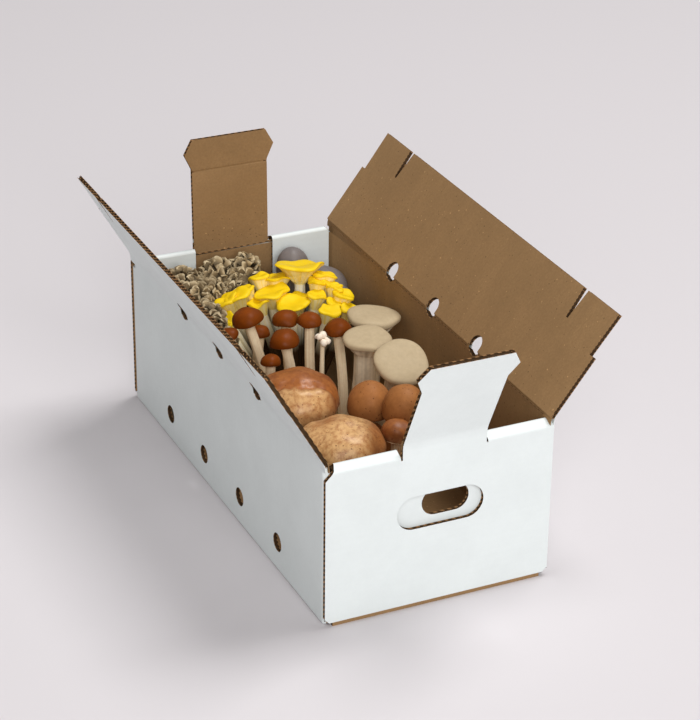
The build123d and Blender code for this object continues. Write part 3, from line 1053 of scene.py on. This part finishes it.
def grow(shell, matrix, reach, kind, cap_share, rng, segments, cap_height=None, press=None):
    """One mushroom from its crown to its foot: cap, rolled rim, gills and furrowed stem."""
    radius = cap_share * kind.cap / 2
    height = cap_height or kind.cap_height
    neck = reach - height
    rim = neck + kind.rim_share * height
    neck_radius = min(kind.stem / 2, 0.5 * radius)
    foot_radius = FOOT_SHARE * kind.stem / 2
    small = min(1.0, 0.3 + 0.7 * cap_share)
    angles = np.linspace(0, math.tau, segments, endpoint=False)
    lobes = sway(rng, angles, 2, 5, kind.lobes)
    waves = sway(rng, angles, 2, 5, kind.waves * small)
    streaks = np.clip(0.5 + sway(rng, angles, 7, 31, 1.4), 0, 1)
    odd = np.arange(segments) % 2
    rings = [np.array([[0.0, 0.0, reach - kind.dip * small]])]
    tones = [0.0]
    marks = [[0.0]]
    slots = []

    def add_ring(out, level, tone, slot, across=0.0, along=0.0):
        x_places = out * np.cos(angles) + across
        y_places = out * np.sin(angles) + along
        rings.append(np.stack([x_places, y_places, np.broadcast_to(level, segments)], axis=1))
        tones.append(tone)
        marks.append([0.0] * segments if slot == CAP else list(streaks))
        slots.append(slot)

    for share, level, slot, tone, pleat in cap_rows(kind, radius, reach, neck, rim, neck_radius, small):
        up = level + waves * share**2 * (1 if slot == CAP else share) - pleat * odd
        add_ring(radius * share * (1 + lobes * share), up, tone, slot)
    dented_count = len(rings) - GILL_ROWS
    low = neck - kind.run_down * small
    bend_angle = rng.uniform(0, math.tau)
    furrows = sway(rng, angles, 5, 16, 6 * kind.furrow)
    for step in range(1, STEM_ROWS + 1):
        share = step / STEM_ROWS
        wide = neck_radius + (foot_radius - neck_radius) * share**1.5
        waist = 1 - 0.06 * math.sin(math.pi * share)
        out = wide * waist * (1 + furrows * math.sin(math.pi * (0.1 + 0.85 * share)))
        lean = kind.bend * math.sin(math.pi * share)
        across = lean * math.cos(bend_angle)
        along = lean * math.sin(bend_angle)
        add_ring(out, low * (1 - share), share, STEM, across, along)
    for share in (0.5, 0.85):
        add_ring(foot_radius * math.sqrt(1 - share**2), -foot_radius * share, 1.0, STEM)
    rings.append(np.array([[0.0, 0.0, -foot_radius]]))
    tones.append(1.0)
    marks.append([0.5])
    slots.append(STEM)
    offset = Vector((rng.uniform(-9, 9), rng.uniform(-9, 9), rng.uniform(-9, 9)))
    placed = []
    for number, ring in enumerate(rings):
        moved = []
        for index, point in enumerate(ring):
            local = Vector(point)
            if number < dented_count:
                out = Vector((local.x, local.y, (local.z - rim) * 1.2 + 0.3 * radius)).normalized()
                push = kind.dent * noise.noise(local / kind.dent_size + offset)
                if press:
                    sink, marks[number][index] = press(local.x / radius, local.y / radius)
                    push -= sink
                local += push * out
            moved.append(matrix @ local)
        placed.append(moved)
    shell.add_rings(placed, tones, slots, marks)


def upright_matrix(foot, crown):
    """The frame of a mushroom: its foot, and its stem along its own Z."""
    turned = (crown - foot).to_track_quat("Z", "Y").to_matrix().to_4x4()
    return Matrix.Translation(foot) @ turned


def mushroom_piece(name, shell, matrix, materials):
    """A finished mushroom that stands for the node of its name."""
    piece = finish_mesh(f"{name}_flesh", shell.to_mesh(name), materials, FLESH_SHARP)
    piece.matrix_world = matrix
    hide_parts(name)
    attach(piece, "tray")


def single(name, matrix, reach, kind, cap_share, materials, segments, cap_height, press=None):
    """A mushroom of its own, in its own frame."""
    shell = Shell()
    grow(shell, Matrix(), reach, kind, cap_share, random.Random(name), segments, cap_height, press)
    mushroom_piece(name, shell, matrix, materials)


def standing_ends(shares, kind):
    """The foot and the crown of a mushroom that stands on the tray's floor."""
    foot = standing_place(shares[0], shares[1], 0) + Vector((0, 0, FOOT_SHARE * kind.stem / 2))
    return foot, standing_place(shares[2], shares[3], shares[4])


def standing(table, kind, materials, segments):
    """Mushrooms that stand on the tray's floor, from a table of shares."""
    for name, shares in table.items():
        foot, crown = standing_ends(shares, kind)
        height = shares[5] * kind.cap_height
        reach = (crown - foot).length
        single(name, upright_matrix(foot, crown), reach, kind, shares[5], materials, segments, height)


def value_of(tree, label):
    """A value that the mesh carries at each point."""
    return add_node(tree, "ShaderNodeAttribute", attribute_name=label).outputs["Fac"]


def cap_material(
    name, crown, rim, dark, *, rim_start, patch, patch_scale, roughness, gloss,
    speck=0.0, pale=None, vary=0.0, painted_flank_shade=0.0,
):
    """A cap: painted shade that darkens its flanks where asked, darker patches, a rim of its own colour,
    specks, and a paler colour where it is marked.
    """
    material, tree = new_material(name, roughness, gloss)
    cloud = mottle(tree, patch_scale)
    grain = mottle(tree, 260.0)
    tone = value_of(tree, "tone")
    # Painted shade: the flanks darken from the crown towards the rim
    colour = tint(tree, rgba(crown), rgba(dark), painted_flank_shade, tone, 0.2, 0.8)
    colour = tint(tree, colour, rgba(rim), 1.0, tone, rim_start)
    colour = tint(tree, colour, rgba(dark), patch, cloud["Mask"], 0.15, 0.95)
    if vary:
        chance = add_node(tree, "ShaderNodeObjectInfo").outputs["Random"]
        colour = tint(tree, colour, rgba(dark), vary, chance)
    if pale:
        marked = mix_colours(tree, value_of(tree, "mark"), colour, rgba(pale))
        colour = tint(tree, marked, colour, 0.6, grain["Mask"], 0.35)
    colour = tint(tree, colour, rgba(dark, 0.9), 0.25, grain["Mask"])
    if speck:
        colour = tint(tree, colour, rgba(dark, 0.6), speck, speckle(tree, 420.0, 0.36))
    feed_shader(tree, "Roughness", map_value(tree, cloud["Mask"], 0, 1, roughness - 0.1, roughness + 0.14))
    dress(tree, colour, [(cloud["Height"], 0.12, 1.5 * MM), (grain["Height"], 0.2, 0.4 * MM)])
    return material


def flesh_material(
    name, pale, dark, amount=0.5, *, under_cap_shade=0.0, foot_stain_and_shade=0.0, foot=None, foot_reach=(0.45, 0.95)
):
    """Gills or a stem: lines of a darker colour; where asked, painted shade just under the cap, and a
    darker foot that is partly a stain and partly painted shade.
    """
    material, tree = new_material(name, 0.65, 0.2)
    lines = value_of(tree, "mark")
    fine = mottle(tree, 380.0)
    cloud = mottle(tree, 60.0, (1, 1, 0.5))
    colour = tint(tree, rgba(pale), rgba(dark), amount, lines, 0.3, 0.95)
    colour = tint(tree, colour, rgba(dark), 0.16, fine["Mask"], 0.2)
    colour = tint(tree, colour, rgba(dark, 0.95), 0.25, cloud["Mask"], 0.4)
    # Painted shade just under the cap
    if under_cap_shade:
        near_cap = map_value(tree, value_of(tree, "tone"), 0.0, 0.4, under_cap_shade, 0.0)
        colour = mix_colours(tree, near_cap, colour, rgba(dark, 0.8))
    # A darker foot: partly a stain, and partly painted shade down in the heap
    if foot_stain_and_shade:
        stain_and_shade_colour = rgba(foot) if foot else rgba(dark, 0.45)
        colour = tint(tree, colour, stain_and_shade_colour, foot_stain_and_shade, value_of(tree, "tone"), *foot_reach)
    dress(tree, colour, [(lines, 0.15, 0.5 * MM), (fine["Height"], 0.1, 0.3 * MM)])
    return material


def blended(first, second, share):
    return tuple(a + (b - a) * share for a, b in zip(first, second))


class KITBOX_OT_pioppini(bpy.types.Operator):
    """Slender mushrooms with dark caps, and one stem of young buds"""

    bl_idname = "kitbox.pioppini"
    bl_label = "Pioppini"

    def execute(self, context):
        colours = settings().mushrooms
        cap, rim, stem = colours.pioppino, colours.pioppino_rim, colours.pioppino_stem
        dark = blended(cap, BLACK, 0.55)
        materials = [
            # The pioppino cap darkens towards its rim: painted shade on its flanks
            cap_material(
                "pioppino_cap", cap, rim, dark, rim_start=0.9, patch=0.5, patch_scale=60.0,
                roughness=0.42, gloss=0.08, vary=0.75, painted_flank_shade=0.7,
            ),
            flesh_material("pioppino_gill", blended(stem, cap, 0.3), cap),
            flesh_material("pioppino_stem", stem, blended(stem, rim, 0.75), 0.25, foot_stain_and_shade=0.3),
        ]
        standing(PIOPPINO_SHARES, PIOPPINO, materials, segments=96)
        pale = flesh_material("pioppino_bud", blended(stem, BRIGHT, 0.45), rim, 0.3)
        self.add_young([pale, pale, materials[STEM]])
        return {"FINISHED"}

    def add_young(self, materials):
        """Buds on a thin stem."""
        foot, crown = standing_ends(YOUNG_SHARES, PIOPPINO)
        thin = PIOPPINO._replace(stem=6.5 * MM, bend=2 * MM)
        bud = PIOPPINO._replace(stem=2.6 * MM, lip=0.5 * MM, dent=0.3 * MM, dent_size=4 * MM, bend=0.4 * MM)
        shell = Shell()
        rng = random.Random("young_pioppino")
        reach = (crown - foot).length
        grow(shell, Matrix(), reach - 2 * MM, thin, 0.26, rng, 48, 5 * MM)
        for number in range(BUD_COUNT):
            angle = number * BUD_TURN
            out = (1.2 + 3.6 * rng.random()) * MM
            rise = reach - (1.0 + 7.0 * rng.random()) * MM
            aim = Vector((BUD_LEAN * math.cos(angle), BUD_LEAN * math.sin(angle), 1))
            base = Vector((out * aim.x / BUD_LEAN, out * aim.y / BUD_LEAN, rise - BUD_REACH))
            base -= 3 * MM * Vector((aim.x, aim.y, 0))
            size = 0.15 + 0.08 * rng.random()
            grow(shell, upright_matrix(base, base + aim), BUD_REACH, bud, size, rng, 24, 3 * MM)
        mushroom_piece("young_pioppino", shell, upright_matrix(foot, crown), materials)


class KITBOX_OT_king_oysters(bpy.types.Operator):
    """Thick pale stems with flat beige caps"""

    bl_idname = "kitbox.king_oysters"
    bl_label = "King oysters"

    def execute(self, context):
        colours = settings().mushrooms
        cap, stem = colours.king, colours.king_stem
        rim = blended(cap, BRIGHT, 0.2)
        dark = blended(cap, (0.2, 0.13, 0.07), 0.5)
        materials = [
            cap_material(
                "king_oyster_cap", cap, rim, dark, rim_start=0.85, patch=0.14, patch_scale=22.0,
                roughness=0.6, gloss=0.25, speck=0.06,
            ),
            flesh_material("king_oyster_gill", stem, dark, 0.6),
            # The king stem has painted shade under its cap and a darker foot
            flesh_material("king_oyster_stem", stem, dark, 0.32, under_cap_shade=0.25, foot_stain_and_shade=0.4),
        ]
        standing(KING_SHARES, KING, materials, segments=144)
        return {"FINISHED"}


def heaped(whole_kind, materials, slot, segments, presses):
    """Mushrooms that stand upright on each other, each in the box of its own node."""
    for name in sorted(name for name in frame["nodes"] if name.startswith(slot)):
        low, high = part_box(name)
        kind = whole_kind
        # A small cap is still rolled in at its rim
        if high.x - low.x < 0.6 * kind.cap:
            kind = kind._replace(lip=2.5 * kind.lip)
        middle = (low + high) / 2
        foot = Vector((middle.x, middle.y, low.z + FOOT_SHARE * kind.stem / 2))
        cap_share = (high.x - low.x) / kind.cap
        count = segments // 2 if "under" in name else segments
        single(
            name, Matrix.Translation(foot), high.z - foot.z, kind, cap_share, materials, count,
            cap_share * kind.cap_height, presses.get(name),
        )


def smooth_step(low, high, value):
    share = max(0.0, min(1.0, (value - low) / (high - low)))
    return share * share * (3 - 2 * share)


def hill(value, middle, width):
    """A smooth hill, 1 at its middle."""
    return math.exp(-(((value - middle) / width) ** 2))


def askew(across, along):
    """A place on a cap, told along the creases and square to them."""
    return CREASE_ACROSS * across + CREASE_ALONG * along, CREASE_ALONG * across - CREASE_ACROSS * along


def creased(across, along):
    """A long crease with a pale flank over the front of a cap: how deep it sinks, and its mark."""
    right, front = askew(across, along)
    ripple = 0.1 * math.cos(3 * right) + 0.035 * math.sin(9 * right) + 0.02 * math.sin(23 * right)
    line = front - 0.34 - ripple
    ends = smooth_step(-0.95, -0.5, right) * smooth_step(0.95, 0.5, right)
    groove = hill(line, 0, 0.09) * ends
    swell = hill(line, 0.2, 0.15) * ends
    band = smooth_step(-0.02, 0.22, line) * smooth_step(0.8, 0.45, line)
    return (3.0 * groove - 1.6 * swell) * MM, 0.9 * band * ends


def dimpled(across, along):
    """Shallow hollows on a cap with a brown patch, and a pale mark that is partly the cap's own paleness
    and partly a painted highlight, fading into painted shade towards the right: how deep it sinks, and its
    mark.
    """
    right, front = askew(across, along)
    hollow = hill(right, 0.2, 0.16) * hill(front, 0.1, 0.22)
    second = hill(right, -0.5, 0.12) * hill(front, -0.15, 0.3)
    brown = hill(right, -0.35, 0.3) * hill(front, -0.2, 0.28)
    # Painted shade: the pale mark fades out towards the right
    shaded = smooth_step(0.35, 0.85, right)
    return (2.0 * hollow + 1.6 * second) * MM, 0.95 * (1 - 0.8 * brown) * (1 - 0.85 * shaded)


class KITBOX_OT_shiitake(bpy.types.Operator):
    """Broad brown caps with flecks, creases and dents, and those that they lie on"""

    bl_idname = "kitbox.shiitake"
    bl_label = "Shiitake"

    def execute(self, context):
        colours = settings().mushrooms
        cap, stem, dark = colours.shiitake, colours.shiitake_stem, colours.shiitake_dark
        rim = blended(cap, stem, 0.3)
        materials = [
            cap_material(
                "shiitake_cap", cap, rim, dark, rim_start=0.6, patch=0.9, patch_scale=46.0,
                roughness=0.38, gloss=0.36, speck=0.75, pale=colours.shiitake_pale,
            ),
            flesh_material("shiitake_gill", stem, cap),
            flesh_material("shiitake_stem", stem, cap),
        ]
        presses = {"shiitake_1": creased, "shiitake_2": dimpled}
        heaped(SHIITAKE, materials, "shiitake", segments=144, presses=presses)
        return {"FINISHED"}


class KITBOX_OT_cremini(bpy.types.Operator):
    """Round orange-brown caps with fine specks, and those that they lie on"""

    bl_idname = "kitbox.cremini"
    bl_label = "Cremini"

    def execute(self, context):
        colours = settings().mushrooms
        cap, dark = colours.cremini, colours.cremini_dark
        rim = blended(cap, dark, 0.4)
        materials = [
            cap_material(
                "cremini_cap", cap, rim, dark, rim_start=0.45, patch=0.4, patch_scale=38.0,
                roughness=0.6, gloss=0.18, speck=0.75,
            ),
            flesh_material("cremini_gill", dark, colours.shiitake_dark),
            flesh_material("cremini_stem", colours.shiitake_stem, cap),
        ]
        heaped(CREMINI, materials, "cremini", segments=112, presses={})
        return {"FINISHED"}


def cluster_base(shell, size, rng):
    """The lumpy foot that a cluster grows from."""
    angles = np.linspace(0, math.tau, 64, endpoint=False)
    lumps = sway(rng, angles, 2, 6, 0.16)
    rings = [[Vector((0, 0, size / 2))]]
    for step in range(1, BASE_ROWS + 1):
        turn = step / BASE_ROWS * math.pi / 2
        out = size / 2 * math.sin(turn) * (1 + lumps * math.sin(turn)) * 0.96
        up = size / 2 * math.cos(turn)
        rings.append([Vector((o * math.cos(a), o * math.sin(a), up)) for o, a in zip(out, angles)])
    rings.append([Vector((0, 0, 0))])
    # At tone 1 the base takes the full foot colour of its stem material, which on the golden oyster is
    # painted shade.
    shell.add_rings(rings, [1.0] * len(rings), [STEM] * (len(rings) - 1))


def cluster_root(crown, base_size):
    """Where a stem leaves a cluster's base, for a crown told from that base."""
    return Vector((crown.x, crown.y, 0)) * SPREAD_SHARE + Vector((0, 0, ROOT_SHARE * base_size))


def cluster_piece(slot, base_shares, cap_shares, base_size, kind, materials, segments):
    """Caps on stems that lean out from one foot."""
    name = f"{slot}_cluster"
    base = standing_place(*base_shares, 0)
    shell = Shell()
    rng = random.Random(name)
    cluster_base(shell, base_size, rng)
    for across, along, height, cap_share in cap_shares:
        crown = standing_place(across, along, height) - base
        root = cluster_root(crown, base_size)
        grow(shell, upright_matrix(root, crown), (crown - root).length, kind, cap_share, rng, segments)
    mushroom_piece(name, shell, Matrix.Translation(base), materials)


class KITBOX_OT_golden_oysters(bpy.types.Operator):
    """A cluster of wavy yellow caps on pale stems"""

    bl_idname = "kitbox.golden_oysters"
    bl_label = "Golden oysters"

    def execute(self, context):
        colours = settings().mushrooms
        cap, gill = colours.golden, colours.golden_gill
        rim = blended(cap, (1, 0.9, 0.2), 0.2)
        dark = blended(cap, (0.8, 0.42, 0.0), 0.35)
        materials = [
            cap_material(
                "golden_oyster_cap", cap, rim, dark, rim_start=0.7, patch=0.45, patch_scale=45.0,
                roughness=0.5, gloss=0.2,
            ),
            flesh_material("golden_oyster_gill", gill, cap, 0.55),
            # The golden stems turn to the foot colour just below the caps: painted shade deep in the heap
            flesh_material(
                "golden_oyster_stem", blended(gill, BRIGHT, 0.6), gill, 0.6,
                foot_stain_and_shade=1.0, foot=colours.golden_foot_shade, foot_reach=(0.08, 0.36),
            ),
        ]
        cap_shares = GOLDEN_CAP_SHARES + GOLDEN_FILL_SHARES
        cluster_piece(
            "golden_oyster", GOLDEN_BASE_SHARES, cap_shares, GOLDEN_BASE, GOLDEN, materials, segments=84
        )
        return {"FINISHED"}


class KITBOX_OT_grey_oysters(bpy.types.Operator):
    """A cluster of smooth grey caps"""

    bl_idname = "kitbox.grey_oysters"
    bl_label = "Grey oysters"

    def execute(self, context):
        colours = settings().mushrooms
        cap, gill = colours.grey, colours.grey_gill
        rim = blended(cap, (0.6, 0.55, 0.5), 0.4)
        dark = blended(cap, (0.03, 0.025, 0.02), 0.5)
        materials = [
            cap_material(
                "grey_oyster_cap", cap, rim, dark, rim_start=0.8, patch=0.45, patch_scale=34.0,
                roughness=0.5, gloss=0.35, speck=0.1,
            ),
            flesh_material("grey_oyster_gill", gill, cap),
            flesh_material("grey_oyster_stem", gill, cap),
        ]
        cap_shares = GREY_CAP_SHARES + GREY_FILL_SHARES
        cluster_piece("grey_oyster", GREY_BASE_SHARES, cap_shares, GREY_BASE, GREY, materials, segments=144)
        return {"FINISHED"}


def add_frond(shell, matrix, length, width, rng):
    """One frond: a rounded fan that widens from its stalk, cupped and curled at its wavy rim."""
    rows, columns = 6, 7
    cup = rng.uniform(-0.2, 0.4)
    curl = rng.uniform(-0.25, 0.45)
    thick = 0.8 * MM
    phase = rng.uniform(0, math.tau)
    waves = rng.choice((2, 3, 4))
    sheets = []
    for side in (1, -1):
        sheet = []
        for row in range(rows):
            share = row / (rows - 1)
            spread = width * (0.2 + 0.8 * math.sin(share * 1.9) ** 0.8)
            line = []
            for column in range(columns):
                lean = column / (columns - 1) * 2 - 1
                reach = length * share * (1 - 0.38 * lean**2 * share)
                ripple = 0.09 * width * math.sin(waves * lean * 2 + phase) * share**2
                depth = cup * width * lean**2 * share - curl * length * share**2.4 + ripple
                edge = 1 - 0.6 * share
                line.append(matrix @ Vector((lean * spread / 2, depth + side * thick * edge, reach)))
            sheet.append(line)
        sheets.append(sheet)
    rings = [upper + lower[::-1] for upper, lower in zip(*sheets)]
    tones = [row / (rows - 1) for row in range(rows)]
    foot = sum(rings[0], Vector()) / len(rings[0])
    tip = sum(rings[-1], Vector()) / len(rings[-1])
    rings = [[foot], *rings, [tip]]
    lightness = rng.random()
    marks = [[lightness] * len(ring) for ring in rings]
    shell.add_rings(rings, [0.0, *tones, 1.0], [CAP] * (len(rings) - 1), marks)


def frond_material(colours):
    """Maitake fronds: painted shade where they grow from, down among the other fronds, pale at the rim,
    each a little lighter or darker.
    """
    material, tree = new_material("maitake_frond", 0.72, 0.2)
    frond = colours.maitake
    tone = value_of(tree, "tone")
    cloud = mottle(tree, 90.0)
    grain = mottle(tree, 420.0)
    colour = mix_colours(tree, value_of(tree, "mark"), rgba(frond, 0.75), rgba(frond, 1.2))
    # Painted shade: near black where a frond grows from, among the others
    colour = tint(tree, rgba(blended(frond, BLACK, 0.85)), colour, 1.0, tone, 0.3, 0.85)
    colour = tint(tree, colour, rgba(colours.maitake_rim), 1.0, tone, 0.75)
    colour = tint(tree, colour, rgba(blended(frond, BLACK, 0.45)), 0.5, cloud["Mask"], 0.3)
    colour = tint(tree, colour, rgba(frond, 0.6), 0.3, grain["Mask"], 0.2)
    dress(tree, colour, [(grain["Height"], 0.3, 0.4 * MM)])
    return material


def scatter(rng):
    """A random arrow that favours no direction."""
    return Vector((rng.gauss(0, 1), rng.gauss(0, 1), rng.gauss(0, 1)))


class KITBOX_OT_maitake(bpy.types.Operator):
    """A maitake: crowded fronds over the tufts of one cluster"""

    bl_idname = "kitbox.maitake"
    bl_label = "Maitake"

    def execute(self, context):
        colours = settings().mushrooms
        base = standing_place(*MAITAKE_BASE_SHARES, 0)
        shell = Shell()
        rng = random.Random("maitake_cluster")
        cluster_base(shell, MAITAKE_BASE, rng)
        stalk = GREY._replace(
            cap=34 * MM, cap_height=18 * MM, stem=15 * MM, run_down=4 * MM, lobes=0.1, dent=1.5 * MM
        )
        for across, along, height, size in MAITAKE_TUFT_SHARES + MAITAKE_FILL_SHARES:
            crown = standing_place(across, along, height) - base
            root = cluster_root(crown, MAITAKE_BASE)
            core = crown - Vector((0, 0, 7 * MM))
            grow(shell, upright_matrix(root, core), (core - root).length, stalk, 0.9 * size, rng, 48)
            self.add_tuft(shell, crown, size * TUFT_RADIUS, rng)
        materials = [
            frond_material(colours),
            flesh_material("maitake_under", colours.maitake_rim, colours.maitake),
            flesh_material("maitake_stalk", colours.maitake_rim, colours.maitake),
        ]
        mushroom_piece("maitake_cluster", shell, Matrix.Translation(base), materials)
        return {"FINISHED"}

    def add_tuft(self, shell, crown, radius, rng):
        """Fronds over a dome and down its flanks, spread by the golden angle, their faces outwards."""
        count = int(TUFT_FRONDS * (radius / TUFT_RADIUS) ** 1.3)
        for number in range(count):
            share = (number + 0.5) / count
            turn = math.acos(1 - 1.5 * share)
            angle = number * GOLDEN_ANGLE + rng.uniform(-0.3, 0.3)
            level_out = math.sin(turn)
            out = Vector((level_out * math.cos(angle), level_out * math.sin(angle), math.cos(turn)))
            place = crown + Vector((out.x * radius, out.y * radius, (out.z - 1) * 1.1 * radius))
            aim = (0.45 * out + Vector((0, 0, 0.65)) + 0.4 * scatter(rng)).normalized()
            face = out + 0.35 * scatter(rng)
            face = (face - face.dot(aim) * aim).normalized()
            length = rng.uniform(7.5, 11) * MM
            width = rng.uniform(6, 10) * MM
            root = place - 0.7 * length * aim
            turned = Matrix((face.cross(aim), face, aim)).transposed().to_4x4()
            add_frond(shell, Matrix.Translation(root) @ turned, length, width, rng)


# Stage

KEY_PLACE = (1.55, 0.4, 4.7)
KEY_SIZE = 2.2
FILL_PLACE = (-1.1, -4.2, 2.6)
FILL_SIZE = 3.0
LAMP_TARGET = (0, 0, 0.08)
SKY_COLOUR = (1.0, 0.99, 0.985)
FLOOR_HALF = 12.0
SENSOR_WIDTH = 36


class KITBOX_OT_stage(bpy.types.Operator):
    """Pale floor, soft studio light and the camera"""

    bl_idname = "kitbox.stage"
    bl_label = "Stage"

    def execute(self, context):
        stage = settings().stage
        scene = context.scene
        scene.view_settings.view_transform = "Standard"
        self.add_floor(scene, stage)
        self.add_sky(scene, stage)
        self.add_lamp(scene, "key_light", KEY_PLACE, KEY_SIZE, stage.key_power)
        self.add_lamp(scene, "fill_light", FILL_PLACE, FILL_SIZE, stage.fill_power)
        self.add_camera(scene, stage)
        return {"FINISHED"}

    def add_camera(self, scene, stage):
        """The camera of the photograph."""
        camera = bpy.data.objects.new("camera", bpy.data.cameras.new("camera"))
        scene.collection.objects.link(camera)
        aim = Vector(stage.camera_aim).normalized()
        right = Vector(stage.camera_right).normalized()
        turned = Matrix((right, right.cross(aim), -aim)).transposed().to_4x4()
        camera.matrix_world = Matrix.Translation(Vector(stage.camera_place)) @ turned
        camera.data.lens = stage.lens
        camera.data.sensor_width = SENSOR_WIDTH
        scene.camera = camera

    def add_floor(self, scene, stage):
        """A plain floor that fills the picture."""
        mesh = bpy.data.meshes.new("floor")
        corners = [(x * FLOOR_HALF, y * FLOOR_HALF, 0) for x, y in ((-1, -1), (1, -1), (1, 1), (-1, 1))]
        mesh.from_pydata(corners, [], [(0, 1, 2, 3)])
        material, tree = new_material("pale_floor", 0.9, 0.1)
        tree.nodes[SHADER].inputs["Base Color"].default_value = rgba(stage.floor)
        mesh.materials.append(material)
        floor = bpy.data.objects.new("floor", mesh)
        scene.collection.objects.link(floor)

    def add_sky(self, scene, stage):
        """Even light from all round."""
        world = bpy.data.worlds.new("studio")
        world.use_nodes = True
        background = world.node_tree.nodes["Background"]
        background.inputs["Color"].default_value = rgba(SKY_COLOUR)
        background.inputs["Strength"].default_value = stage.sky
        scene.world = world

    def add_lamp(self, scene, name, place, size, power):
        """A soft lamp that points at the box."""
        data = bpy.data.lights.new(name, "AREA")
        data.size = size
        data.energy = power
        lamp = bpy.data.objects.new(name, data)
        lamp.location = place
        lamp.rotation_euler = (Vector(LAMP_TARGET) - Vector(place)).to_track_quat("-Z", "Y").to_euler()
        scene.collection.objects.link(lamp)


OPERATORS = (
    KITBOX_OT_tray,
    KITBOX_OT_lid_flaps,
    KITBOX_OT_lock_tabs,
    KITBOX_OT_folds,
    KITBOX_OT_pioppini,
    KITBOX_OT_king_oysters,
    KITBOX_OT_shiitake,
    KITBOX_OT_cremini,
    KITBOX_OT_golden_oysters,
    KITBOX_OT_grey_oysters,
    KITBOX_OT_maitake,
    KITBOX_OT_stage,
)


class KITBOX_PT_sidebar(bpy.types.Panel):
    bl_label = "Kit box"
    bl_idname = "KITBOX_PT_sidebar"
    bl_space_type = "VIEW_3D"
    bl_region_type = "UI"
    bl_category = "Kit box"

    def draw(self, context):
        for operator in OPERATORS:
            self.layout.operator(operator.bl_idname)


CLASSES = (KitBoxBoard, KitBoxMushrooms, KitBoxStage, KitBoxSettings, *OPERATORS, KITBOX_PT_sidebar)


def register():
    for item in CLASSES:
        bpy.utils.register_class(item)
    bpy.types.Scene.kit_box = PointerProperty(type=KitBoxSettings)


def unregister():
    del bpy.types.Scene.kit_box
    for item in reversed(CLASSES):
        bpy.utils.unregister_class(item)


def main():
    register()
    bpy.ops.kitbox.tray()
    bpy.ops.kitbox.lid_flaps()
    bpy.ops.kitbox.lock_tabs()
    bpy.ops.kitbox.folds()
    bpy.ops.kitbox.pioppini()
    bpy.ops.kitbox.king_oysters()
    bpy.ops.kitbox.shiitake()
    bpy.ops.kitbox.cremini()
    bpy.ops.kitbox.golden_oysters()
    bpy.ops.kitbox.grey_oysters()
    bpy.ops.kitbox.maitake()
    bpy.ops.kitbox.stage()


if __name__ == "__main__":
    main()
